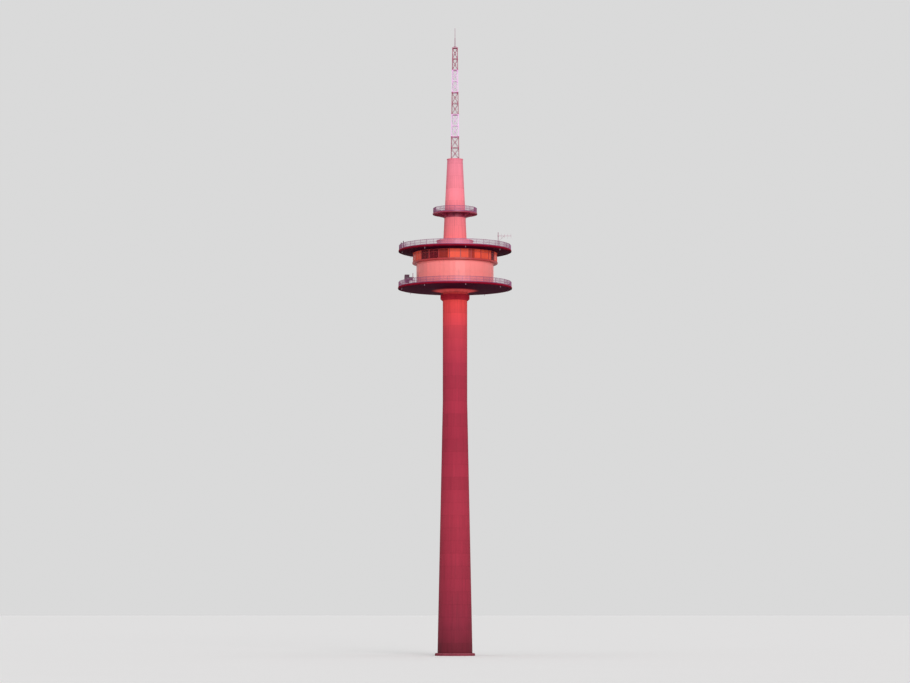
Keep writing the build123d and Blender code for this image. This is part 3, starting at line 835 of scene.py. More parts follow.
class Form:
    """A piece that takes shape by mesh operators and then becomes an object."""

    def __init__(self, name: str) -> None:
        """Starts with an empty mesh."""
        self.name = name
        self.mesh = bmesh.new()

    def block(
        self, size: Size, centre: Size = (0.0, 0.0, 0.0), place: Matrix = AT_ORIGIN, rounding: float = 0.0
    ) -> None:
        """Adds a box.

        Args:
            size: Its three sides.
            centre: Its centre in the place's coordinates.
            place: Where it stands.
            rounding: Width of the bevel along its edges, or nought.
        """
        matrix = place @ Matrix.Translation(centre) @ Matrix.Diagonal((*size, 1.0))
        made = bmesh.ops.create_cube(self.mesh, size=1.0, matrix=matrix)
        if rounding > 0:
            self._bevel(edges_at(made["verts"]), rounding, 1)

    def _bevel(self, edges: list[bmesh.types.BMEdge], width: float, segments: int) -> None:
        """Bevels edges.

        Args:
            edges: The edges.
            width: Width of the bevel.
            segments: Faces across it.
        """
        bmesh.ops.bevel(
            self.mesh,
            geom=edges,
            offset=width,
            offset_type="OFFSET",
            affect="EDGES",
            segments=segments,
            profile=0.5,
            material=-1,
        )

    def rod(self, start: Vector, end: Vector, radius: float, sides: int = BAR_SIDES) -> None:
        """Adds a round bar.

        Args:
            start: Centre of one end.
            end: Centre of the other end.
            radius: Its radius.
            sides: Faces round it.
        """
        run = end - start
        turn = UP.rotation_difference(run.normalized()).to_matrix().to_4x4()
        bmesh.ops.create_cone(
            self.mesh,
            cap_ends=True,
            segments=sides,
            radius1=radius,
            radius2=radius,
            depth=run.length,
            matrix=Matrix.Translation((start + end) / 2) @ turn,
        )

    def beam(self, start: Vector, end: Vector, width: float, depth: float, side: Vector) -> None:
        """Adds a flat bar.

        Args:
            start: Centre of one end.
            end: Centre of the other end.
            width: Its width.
            depth: Its depth.
            side: Direction that the depth is turned to.
        """
        along = (end - start).normalized()
        out = (side - along * side.dot(along)).normalized()
        turn = Matrix((out, along.cross(out), along)).transposed().to_4x4()
        self.block((depth, width, (end - start).length), place=Matrix.Translation((start + end) / 2) @ turn)

    def ring(
        self, outline: Outline, steps: int = FORMWORK_SIDES, start: float = 0.0, sweep: float = TURN
    ) -> None:
        """Spins a closed outline about the tower's axis.

        Args:
            outline: (radius, height) of each corner of the section.
            steps: Straight runs in the whole sweep.
            start: Angle of the first section, in degrees.
            sweep: Angle that the ring covers, in degrees.
        """
        verts = [self.mesh.verts.new(polar(radius, start, height)) for radius, height in outline]
        edges = [self.mesh.edges.new(pair) for pair in zip(verts, verts[1:] + verts[:1])]
        self._spin(verts + edges, steps, sweep, ORIGIN, UP)

    def band(
        self, inner: float, outer: float, foot: float, head: float, steps: int = FORMWORK_SIDES
    ) -> None:
        """Adds a ring with a square-edged section, between two radii and two heights."""
        self.ring([(inner, foot), (outer, foot), (outer, head), (inner, head)], steps)

    def tube_ring(self, radius: float, height: float, tube: float, steps: int, sides: int) -> None:
        """Adds a tube that runs round the tower's axis.

        Args:
            radius: Distance of its centre line from the axis.
            height: Height of its centre line.
            tube: The tube's own radius.
            steps: Straight runs in the whole turn.
            sides: Faces round the tube.
        """
        upright = Matrix.Translation((radius, 0.0, height)) @ Matrix.Rotation(QUARTER, 4, "X")
        made = bmesh.ops.create_circle(self.mesh, segments=sides, radius=tube, matrix=upright)
        self._spin(made["verts"] + edges_at(made["verts"]), steps, TURN, ORIGIN, UP)

    def turned(self, outline: Outline, centre: Vector, axis: Vector, steps: int) -> None:
        """Spins an outline about a level axis, on which or on itself it ends.

        Args:
            outline: (distance from the axis, place along it) of each point.
            centre: Where the axis starts.
            axis: Direction of the axis.
            steps: Straight runs in the whole turn.
        """
        verts = [self.mesh.verts.new(centre + UP * away + axis * along) for away, along in outline]
        edges = [self.mesh.edges.new(pair) for pair in zip(verts, verts[1:])]
        self._spin(verts + edges, steps, TURN, centre, axis)

    def _spin(self, geometry: Geometry, steps: int, sweep: float, centre: Vector, axis: Vector) -> None:
        """Spins geometry, merges where the sweep closes and fills the ends where it does not.

        Args:
            geometry: Vertices and edges of the section.
            steps: Straight runs in the sweep.
            sweep: Angle in degrees.
            centre: Point on the axis.
            axis: Direction of the axis.
        """
        before = set(self.mesh.faces)
        whole = sweep >= TURN
        path = {"cent": centre, "axis": axis, "angle": radians(sweep), "steps": steps}
        bmesh.ops.spin(self.mesh, geom=geometry, use_merge=whole, **path)
        near = dict.fromkeys(vert for face in self.mesh.faces if face not in before for vert in face.verts)
        bmesh.ops.remove_doubles(self.mesh, verts=list(near), dist=MERGE_DISTANCE)
        if not whole:
            ends = [edge for edge in self.mesh.edges if edge.is_boundary]
            bmesh.ops.holes_fill(self.mesh, edges=ends, sides=0)

    def repeat(self, count: int) -> None:
        """Repeats everything so far evenly round the tower's axis.

        Args:
            count: How often it stands there in the end.
        """
        everything = self.mesh.verts[:] + self.mesh.edges[:] + self.mesh.faces[:]
        path = {"cent": ORIGIN, "axis": UP, "angle": radians(TURN * (count - 1) / count)}
        bmesh.ops.spin(self.mesh, geom=everything, steps=count - 1, use_duplicate=True, **path)

    def soften(self, node: str, width: float, segments: int = 2) -> None:
        """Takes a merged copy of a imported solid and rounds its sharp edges.

        Args:
            node: Name of the solid.
            width: Width of the rounded edges.
            segments: Faces across them.
        """
        self.mesh.from_mesh(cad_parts[node].data)
        bmesh.ops.remove_doubles(self.mesh, verts=self.mesh.verts[:], dist=MERGE_DISTANCE)
        flat = {"verts": self.mesh.verts[:], "edges": self.mesh.edges[:]}
        bmesh.ops.dissolve_limit(self.mesh, angle_limit=FLAT_ANGLE, **flat)
        edges = [e for e in self.mesh.edges if e.is_manifold and e.calc_face_angle() > ROUND_ANGLE]
        self._bevel(edges, width, segments)

    def finish(self, workshop: Workshop, finish: Finish, instead_of: str = "") -> None:
        """Makes the object, at the origin and unturned, which rides on the tower's body.

        Args:
            workshop: Where the finish is kept.
            finish: The piece's finish.
            instead_of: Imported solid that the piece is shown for, or nothing.
        """
        bmesh.ops.recalc_face_normals(self.mesh, faces=self.mesh.faces[:])
        mesh = bpy.data.meshes.new(self.name)
        self.mesh.to_mesh(mesh)
        self.mesh.free()
        mesh.materials.append(workshop.material(finish))
        mesh.shade_smooth()
        mesh.set_sharp_from_angle(angle=ROUND_ANGLE)
        piece = bpy.data.objects.new(self.name, mesh)
        bpy.context.scene.collection.objects.link(piece)
        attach(piece, BODY)
        if instead_of:
            workshop.dress(finish, instead_of)
            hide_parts(instead_of)
        LOG.info("%s: %d triangles", self.name, sum(len(face.vertices) - 2 for face in mesh.polygons))


@dataclass(frozen=True)
class Bolt:
    """A hexagon head on its washer, with the axis along local x."""

    radius: float = 0.0012
    height: float = 0.0014
    washer_share: float = 0.3
    washer_spread: float = 1.6

    def stamp(self, form: Form, places: list[Matrix]) -> None:
        """Adds a bolt at each place.

        Args:
            form: The form that gets the bolts.
            places: Where each of them sits, with local x as its axis.
        """
        unit, pattern = Form("bolt"), bpy.data.meshes.new("bolt")
        seat = RIGHT * self.height * self.washer_share
        unit.rod(ORIGIN, seat, self.radius * self.washer_spread)
        unit.rod(seat, RIGHT * self.height, self.radius, HEXAGON)
        unit.mesh.to_mesh(pattern)
        unit.mesh.free()
        for place in places:
            copy = pattern.copy()
            copy.transform(place)
            form.mesh.from_mesh(copy)
            bpy.data.meshes.remove(copy)
        bpy.data.meshes.remove(pattern)

    def stand(self, form: Form, spots: list[Spot], place: Matrix = AT_ORIGIN) -> None:
        """Adds an upright bolt at each spot of a place."""
        self.stamp(form, [place @ Matrix.Translation(spot) @ UPRIGHT for spot in spots])


@dataclass(frozen=True)
class Lamp:
    """A wide, far lamp, with its angle round the tower and above the horizon."""

    name: str
    turn: float
    rise: float
    strength: float
    width: float

    def build(self) -> None:
        """Adds the lamp."""
        light = bpy.data.lights.new(self.name, "SUN")
        light.energy = self.strength
        light.angle = radians(self.width)
        lamp = bpy.data.objects.new(self.name, light)
        towards = polar(cos(radians(self.rise)), self.turn, sin(radians(self.rise)))
        lamp.rotation_euler = towards.to_track_quat("Z", "Y").to_euler()
        bpy.context.scene.collection.objects.link(lamp)


@dataclass
class Part(ABC):
    """A sub-assembly of the scene, with the workshop that its finishes come from."""

    workshop: Workshop

    @abstractmethod
    def build(self) -> None:
        """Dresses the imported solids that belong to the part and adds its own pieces."""


@dataclass
class Stage(Part):
    """Floor, lamps, sky and camera."""

    floor_radius: float = 400.0
    floor_drop: float = 0.0005
    floor_sides: int = 96
    camera_distance: float = 56.7
    camera_height: float = 0.9
    look_height: float = 6.2
    lens: float = 113.5
    far_limit: float = 2000.0
    sky_light: float = 0.45
    sky_shown: float = 0.7
    lamps: tuple[Lamp, ...] = (
        Lamp("soft_sun", -76.0, 11.0, 1.75, 20.0),
        Lamp("soft_top", -90.0, 84.0, 0.75, 70.0),
    )

    def build(self) -> None:
        """Sets up everything that is not the tower."""
        self._floor()
        for lamp in self.lamps:
            lamp.build()
        self._sky()
        self._camera()
        bpy.context.scene.view_settings.view_transform = "Standard"

    def _floor(self) -> None:
        """Adds a large round floor at the foot of the tower."""
        form = bmesh.new()
        drop = Matrix.Translation(UP * -self.floor_drop)
        size = {"segments": self.floor_sides, "radius": self.floor_radius}
        bmesh.ops.create_circle(form, cap_ends=True, matrix=drop, **size)
        mesh = bpy.data.meshes.new("studio_floor")
        form.to_mesh(mesh)
        form.free()
        mesh.materials.append(self.workshop.material(Finish.FLOOR))
        floor = bpy.data.objects.new("studio_floor", mesh)
        bpy.context.scene.collection.objects.link(floor)

    def _sky(self) -> None:
        """Adds even light from all round, shown as a pale background."""
        world = bpy.data.worlds.new("studio_sky")
        world.use_nodes = True
        sky = Nodes(world.node_tree)
        rays = sky.node("ShaderNodeLightPath").outputs
        seen = Wire(sky, rays["Is Camera Ray"])
        for name in ("Is Glossy Ray", "Is Transmission Ray"):
            seen = seen.larger(Wire(sky, rays[name]))
        sockets: Sockets = {0: seen}
        for index, level in enumerate((self.sky_light, self.sky_shown)):
            colour = {"Color": (level, level, level, 1.0)}
            sockets[index + 1] = sky.node("ShaderNodeBackground", inputs=colour).outputs[0]
        blend = sky.node("ShaderNodeMixShader", inputs=sockets)
        sky.node("ShaderNodeOutputWorld", inputs={0: blend.outputs[0]})
        bpy.context.scene.world = world

    def _camera(self) -> None:
        """Adds a distant camera near the ground, looking slightly up at the tower."""
        data = bpy.data.cameras.new("camera")
        data.lens = self.lens
        data.clip_end = self.far_limit
        camera = bpy.data.objects.new("camera", data)
        camera.location = (0.0, -self.camera_distance, self.camera_height)
        aim = UP * self.look_height - camera.location
        camera.rotation_euler = aim.to_track_quat("-Z", "Y").to_euler()
        bpy.context.scene.collection.objects.link(camera)
        bpy.context.scene.camera = camera


@dataclass
class ConcreteShaft(Part):
    """Walls of the shaft and the tip with the fins between their lifts, the footing and the collar."""

    lift: float = 0.25
    fin_height: float = 0.0022
    fin_depth: float = 0.0007
    buried: float = 0.002

    def build(self) -> None:
        """Dresses the walls, the footing and the collar, and adds the fins."""
        self.workshop.dress(Finish.SHAFT, *(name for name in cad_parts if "_wall" in name))
        self.workshop.dress(Finish.FOOTING, "foundation_slab")
        self.workshop.dress(Finish.COLLAR, "collar_ring")
        foot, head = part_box("taper_wall_front")
        radius = -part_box("shaft_wall_front")[0].y
        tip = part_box("tip_wall")[0]
        self._fins("shaft_lift_fins", (foot.z, head.z), (-foot.y, radius))
        self._fins("upper_shaft_lift_fins", (head.z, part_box("collar_ring")[0].z), (radius, radius))
        self._fins("tip_lift_fins", (tip.z, TIP_HEAD), (-tip.y, TIP_HEAD_RADIUS))

    def _fins(self, name: str, heights: Pair, radii: Pair) -> None:
        """Adds thin raised lines round a wall at each lift.

        Args:
            name: Name of the piece.
            heights: Foot and head of the wall.
            radii: Its radius at the foot and at the head.
        """
        form = Form(name)
        rise, half = heights[1] - heights[0], self.fin_height / 2
        first, last = int(heights[0] / self.lift) + 1, int((heights[1] - half) / self.lift)
        for step in range(first, last + 1):
            height = step * self.lift
            radius = radii[0] + (radii[1] - radii[0]) * (height - heights[0]) / rise
            inner, outer = radius - self.buried, radius + self.fin_depth
            form.ring([(inner, height - half), (outer, height), (inner, height + half)])
        form.finish(self.workshop, Finish.SHAFT)


@dataclass
class Railing(Part):
    """Everything on one round railing that is finer than its posts and rails."""

    node: str
    bays: int = 24
    balusters: int = 23
    plate: float = 0.017
    baluster: float = 0.0024
    handrail: float = 0.0039
    low_rail: float = 0.002
    low_rail_height: float = 0.017
    toe_height: float = 0.013
    toe_thickness: float = 0.0016
    toe_gap: float = 0.0015
    plate_thickness: float = 0.002
    plate_rounding: float = 0.0004
    corner_share: float = 0.75
    bolt_share: float = 0.34
    bar: float = 0.005
    corner_post: float = 0.004
    bolt: Bolt = Bolt()

    def __post_init__(self) -> None:
        """Reads the railing's places from its solid."""
        low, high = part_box(self.node)
        self.deck, self.top = low.z, high.z
        out = polar(1.0, TURN / 2 / self.bays, 0.0)
        self.middle = max(corner.dot(out) for corner in corners(self.node)) - self.bar / 2
        self.corner = self.middle / cos(pi / self.bays)
        self.length = 2 * self.middle * tan(pi / self.bays)

    def build(self) -> None:
        """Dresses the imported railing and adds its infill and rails."""
        self.workshop.dress(Finish.RAILING, self.node)
        form = Form(f"{self.node}_infill")
        bay = standing(self.middle, TURN / 2 / self.bays, self.deck)
        self._balusters(form, bay)
        self._feet(form, bay)
        form.repeat(self.bays)
        form.finish(self.workshop, Finish.RAILING)
        self._rails()

    def _balusters(self, form: Form, bay: Matrix) -> None:
        """Adds the thin uprights of one bay and the slim post at its corner.

        Args:
            form: The infill.
            bay: Place of the bay's middle on the deck.
        """
        rise = self.top - self.deck - self.bar
        size = (self.baluster, self.baluster, rise - self.low_rail_height)
        level = (rise + self.low_rail_height) / 2
        for index in range(self.balusters):
            along = ((index + 0.5) / self.balusters - 0.5) * self.length
            if abs(along) > self.bar:
                form.block(size, (0.0, along, level), bay)
        form.block((self.corner_post, self.corner_post, rise), (0.0, self.length / 2, rise / 2), bay)

    def _feet(self, form: Form, bay: Matrix) -> None:
        """Adds the bolted plates below the posts of one bay.

        Args:
            form: The infill.
            bay: Place of the bay's middle on the deck.
        """
        for along, width in ((0.0, self.plate), (self.length / 2, self.plate * self.corner_share)):
            centre = (0.0, along, self.plate_thickness / 2)
            form.block((width, width, self.plate_thickness), centre, bay, self.plate_rounding)
            reach = width * self.bolt_share
            spots = [(x, along + y, self.plate_thickness) for x in (-reach, reach) for y in (-reach, reach)]
            self.bolt.stand(form, spots, bay)

    def _rails(self) -> None:
        """Adds the round handrail, the low rail and the toe board."""
        form = Form(f"{self.node}_handrail")
        form.tube_ring(self.corner, self.top - self.bar / 2, self.handrail, self.bays, PIPE_SIDES)
        form.tube_ring(self.corner, self.deck + self.low_rail_height, self.low_rail, self.bays, HEXAGON)
        inner, foot = self.corner + self.bar / 2, self.deck + self.toe_gap
        outer, head = inner + self.toe_thickness, foot + self.toe_height
        form.band(inner, outer, foot, head, self.bays)
        form.finish(self.workshop, Finish.RAILING)


@dataclass
class Platform(Part):
    """Kerb, drip nose and drain outlets of one slab.

    Pipe, flange and grate of an outlet are each a radius and two heights from the slab's top.
    """

    node: str
    kerb_width: float = 0.016
    kerb_height: float = 0.0035
    kerb_slope: float = 0.004
    clear: float = 0.0006
    sunk: float = 0.001
    nose_inset: float = 0.03
    nose_drop: float = 0.034
    nose: Pair = (0.004, 0.012)
    outlets: int = 8
    outlet_turn: float = 11.25
    outlet_inset: float = 0.06
    pipe: Size = (0.006, -0.06, -0.02)
    flange: Size = (0.009, -0.034, -0.027)
    grate: Size = (0.011, 0.0, 0.0016)

    def build(self) -> None:
        """Dresses the slab and adds its trim."""
        self.workshop.dress(Finish.SLAB, self.node)
        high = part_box(self.node)[1]
        top, rim = high.z, high.x
        form = Form(f"{self.node}_trim")
        inner, outer, head = rim - self.kerb_width, rim - self.clear, top + self.kerb_height
        kerb = [(inner, top - self.sunk), (outer, top - self.sunk), (outer, head)]
        form.ring(kerb + [(outer - self.kerb_slope, head), (inner, top + self.sunk)])
        near, foot = rim - self.nose_inset, top - self.nose_drop
        form.band(near, near + self.nose[0], foot, foot + self.nose[1])
        form.finish(self.workshop, Finish.SLAB)

        drains = Form(f"{self.node}_outlets")
        spot = polar(rim - self.outlet_inset, self.outlet_turn, top)
        for radius, start, end in (self.pipe, self.flange, self.grate):
            drains.rod(spot + UP * start, spot + UP * end, radius, DRAIN_SIDES)
        drains.repeat(self.outlets)
        drains.finish(self.workshop, Finish.FITTING)


@dataclass
class Cabin(Part):
    """Cladding of the cabin: joint covers, flashings and screws."""

    joints: int = 16
    cover_width: float = 0.011
    cover_depth: float = 0.0026
    cover_rounding: float = 0.0006
    cover_gap: float = 0.01
    screw_rows: int = 8
    screw: Bolt = Bolt(0.0011, 0.0012)
    buried: float = 0.001
    foot_profile: tuple[Pair, ...] = ((0.005, 0.0), (0.005, 0.003), (0.0025, 0.005), (0.0025, 0.016))
    foot_height: float = 0.018
    head_depth: float = 0.003
    head_height: float = 0.012
    row_share: float = 0.52
    row_height: float = 0.008
    row_depth: float = 0.002
    door_turn: float = CABIN_DOOR_TURN

    def __post_init__(self) -> None:
        """Reads the cabin's places from its front wall."""
        low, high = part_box("cabin_panels_front")
        self.radius, self.low, self.high = -low.y, low.z, high.z

    def build(self) -> None:
        """Dresses the wall panels and the floor and adds the trim."""
        for side in ("front", "right", "back", "left"):
            self.workshop.dress(Finish.CLADDING, f"cabin_panels_{side}")
        self.workshop.dress(Finish.FOOTING, "cabin_floor")
        self._covers()
        self._flashings()

    def _covers(self) -> None:
        """Adds upright strips over the joints between panels, each held by screws."""
        form = Form("cabin_joint_covers")
        rise = self.high - self.low
        place = standing(self.radius, 0.0, (self.low + self.high) / 2)
        size = (self.cover_depth * 2, self.cover_width, rise - 2 * self.cover_gap)
        form.block(size, place=place, rounding=self.cover_rounding)
        heights = [self.low + rise * (row + 0.5) / self.screw_rows for row in range(self.screw_rows)]
        face = self.radius + self.cover_depth
        self.screw.stamp(form, [standing(face, 0.0, height) for height in heights])
        form.repeat(self.joints)
        form.finish(self.workshop, Finish.CLADDING)

    def _flashings(self) -> None:
        """Adds the flashings at the foot and the head, and the joint between the rows of sheets."""
        form = Form("cabin_flashings")
        inner = self.radius - self.buried
        foot = [(self.radius + out, self.low + up) for out, up in self.foot_profile]
        foot = [(inner, self.low)] + foot + [(inner, self.low + self.foot_height)]
        start = self.door_turn + FORMWORK_STEP / 2
        form.ring(foot, FORMWORK_SIDES - 1, start, TURN - FORMWORK_STEP)
        lip, base = self.radius + self.head_depth, self.high - self.head_height
        form.band(inner, lip, base, self.high)
        middle = self.low + (self.high - self.low) * self.row_share
        half, lip = self.row_height / 2, self.radius + self.row_depth
        row = [(inner, -half), (lip, -half / 2), (lip, half / 2), (inner, half)]
        form.ring([(radius, middle + up) for radius, up in row])
        form.finish(self.workshop, Finish.CLADDING)


class Blind(Enum):
    """How far the blind behind a window is let down, as a share of the window's height."""

    UP = 0.15
    HALF = 0.5
    DOWN = 1.0


@dataclass
class WindowBand(Part):
    """Frames, transoms and blinds of the windows between the cabin wall and the upper slab.

    The capping is a width, an inset and a rise; slat and box are each a depth and a height.
    """

    panes: int = 24
    pane_thickness: float = 0.003
    post_width: float = 0.0096
    frame_bar: float = 0.0055
    frame_depth: float = 0.007
    frame_rounding: float = 0.0005
    mullion: float = 0.003
    transom_share: float = 0.3
    capping: Size = (0.02, 0.0008, 0.0022)
    slats: int = 13
    slat: Pair = (0.011, 0.0009)
    slat_tilt: float = 58.0
    box: Pair = (0.014, 0.007)
    blind_gap: float = 0.016
    blind_share: float = 0.93
    blind_margin: float = 0.012
    sunk: float = 0.001
    tape: float = 0.0012
    tape_share: float = 0.32
    open_panes: tuple[int, ...] = (2, 7, 15, 16, 17, 22)
    half_panes: tuple[int, ...] = (5, 10, 12, 20)

    def __post_init__(self) -> None:
        """Reads the band's places from its panes."""
        low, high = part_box("window_glass")
        self.low, self.high = low.z, high.z
        self.radius = high.x - self.pane_thickness / 2
        self.width = 2 * self.radius * tan(pi / self.panes) - self.post_width

    def build(self) -> None:
        """Dresses the band and adds what its panes are set in."""
        self.workshop.dress(Finish.WINDOW_FRAME, "window_sill", "window_posts")
        self.workshop.dress(Finish.PANE, "window_glass")
        self._frames()
        self._blinds()
        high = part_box("window_sill")[1]
        width, inset, rise = self.capping
        outer, inner = high.x - inset, high.x - width
        form = Form("window_sill_capping")
        section = [(inner, 0.0), (outer, -inset), (outer, inset), (inner, rise)]
        form.ring([(radius, high.z + up) for radius, up in section])
        form.finish(self.workshop, Finish.WINDOW_FRAME)

    def _frames(self) -> None:
        """Adds a slim frame to each pane, with a transom and an upright bar that part it."""
        form = Form("window_frames")
        place = standing(self.radius, 0.0, 0.0)
        rise, bar = self.high - self.low, self.frame_bar
        middle = (self.low + self.high) / 2
        for side in (-1, 1):
            centre = (0.0, side * (self.width - bar) / 2, middle)
            form.block((self.frame_depth, bar, rise), centre, place, self.frame_rounding)
        inside = (self.frame_depth, self.width - 2 * bar, bar)
        for level in (self.low + bar / 2, self.high - bar / 2, self.high - rise * self.transom_share):
            form.block(inside, (0.0, 0.0, level), place, self.frame_rounding)
        form.block((self.frame_depth, self.mullion, rise), (0.0, 0.0, middle), place)
        form.repeat(self.panes)
        form.finish(self.workshop, Finish.WINDOW_FRAME)

    def _blinds(self) -> None:
        """Adds slatted blinds, each let down by its own length from a box under the slab."""
        form = Form("window_blinds")
        tilt = Matrix.Rotation(radians(self.slat_tilt), 4, "Y")
        long, (depth, rise) = self.width * self.blind_share, self.box
        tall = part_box("upper_platform")[0].z + self.sunk - self.high + rise
        for index in range(self.panes):
            state = Blind.HALF if index in self.half_panes else Blind.DOWN
            if index in self.open_panes:
                state = Blind.UP
            place = standing(self.radius - self.blind_gap, index * TURN / self.panes, self.high)
            form.block((depth, long, tall), (0.0, 0.0, tall / 2 - rise), place, self.frame_rounding)
            drop = (self.high - self.low - self.blind_margin - rise) * state.value
            for side in (-1, 1):
                spot = (0.0, side * long * self.tape_share, -rise - drop / 2)
                form.block((self.tape, self.tape, drop), spot, place)
            count = round(self.slats * state.value)
            for slat in range(count):
                spot = Matrix.Translation((0.0, 0.0, -rise - drop * (slat + 0.5) / count))
                form.block((self.slat[0], long, self.slat[1]), place=place @ spot @ tilt)
        form.finish(self.workshop, Finish.BLIND)


@dataclass
class RoofDrum(Part):
    """Low housing at the foot of the tip: standing seams and roof edge, and the bolts on the tip.

    Seam and ridge are each a depth or width and a height; the edge is a width, an inset and a rise.
    """

    seams: int = 16
    first_seam: float = 11.25
    door_turn: float = DOOR_TURN
    door_clear: float = 10.0
    wall_inset: float = 0.01
    seam: Pair = (0.004, 0.006)
    ridge: Pair = (0.004, 0.005)
    rounding: float = 0.0006
    edge: Size = (0.012, 0.0003, 0.003)
    cap_bolt: Bolt = Bolt(0.003, 0.004)
    cap_bolt_radius: float = 0.143
    cap_bolts: int = 16

    def build(self) -> None:
        """Dresses the drum and adds its seams and the bolts on the tip's cap."""
        self.workshop.dress(Finish.DRUM, "roof_drum")
        low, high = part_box("roof_drum")
        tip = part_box("tip_wall")[1]
        rise = high.z - low.z - self.wall_inset * 2
        form = Form("roof_drum_seams")
        for index in range(self.seams):
            turn = index * TURN / self.seams + self.first_seam
            if abs(turn - self.door_turn) > self.door_clear:
                place = standing(high.x - self.wall_inset, turn, low.z + rise / 2)
                form.block((*self.seam, rise), place=place, rounding=self.rounding)
            ridge = standing((high.x + tip.x) / 2, turn, high.z)
            form.block((high.x - tip.x - self.wall_inset, *self.ridge), place=ridge, rounding=self.rounding)
        width, inset, height = self.edge
        inner, outer = high.x - width, high.x - inset
        edge = [(inner, high.z - inset), (outer, high.z - inset), (outer, high.z + height)]
        form.ring(edge + [(inner, high.z + height / 2)])
        form.finish(self.workshop, Finish.DRUM)

        cap = Form("tip_cap_bolts")
        spot = polar(self.cap_bolt_radius, self.first_seam, tip.z)
        self.cap_bolt.stand(cap, [spot])
        cap.repeat(self.cap_bolts)
        cap.finish(self.workshop, Finish.FITTING)


@dataclass
class RingWalkway(Part):
    """Grating and bolts of the small walkway round the tip."""

    bars: int = 96
    hoops: int = 5
    bar: float = 0.0012
    bar_height: float = 0.0024
    inner: float = 0.212
    rim: float = 0.006
    brackets: int = 8
    collar_bolt: Bolt = Bolt(0.0022, 0.003)
    rim_bolt: Bolt = Bolt(0.0016, 0.0016)
    collar_turns: tuple[float, ...] = (6.0, 16.5, 28.5, 39.0)
    collar_rows: Pair = (0.02, 0.06)
    rim_turns: Pair = (3.75, 41.25)
    rim_drop: float = 0.012
    rim_sunk: float = 0.0008

    def build(self) -> None:
        """Dresses the walkway and adds its grating and bolts."""
        self.workshop.dress(Finish.RING, "ring_platform")
        low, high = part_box("ring_platform")
        top, outer = high.z, high.x - self.rim
        form = Form("ring_walkway_grating")
        middle = ((self.inner + outer) / 2, 0.0, top + self.bar_height / 2)
        form.block((outer - self.inner, self.bar, self.bar_height), middle)
        form.repeat(self.bars)
        step = (outer - self.inner - 2 * self.rim) / (self.hoops - 1)
        for hoop in range(self.hoops):
            near = self.inner + self.rim + step * hoop
            form.band(near, near + self.bar, top, top + self.bar_height)
        form.finish(self.workshop, Finish.RING)

        bolts = Form("ring_walkway_bolts")
        collar = max(corner.x for corner in corners("ring_platform") if corner.z < low.z + self.bar)
        places = [(turn, low.z + rise) for turn in self.collar_turns for rise in self.collar_rows]
        spots = [standing(collar - self.rim_sunk, turn, height) for turn, height in places]
        self.collar_bolt.stamp(bolts, spots)
        rim = [standing(high.x - self.rim_sunk, turn, top - self.rim_drop) for turn in self.rim_turns]
        self.rim_bolt.stamp(bolts, rim)
        bolts.repeat(self.brackets)
        bolts.finish(self.workshop, Finish.FITTING)


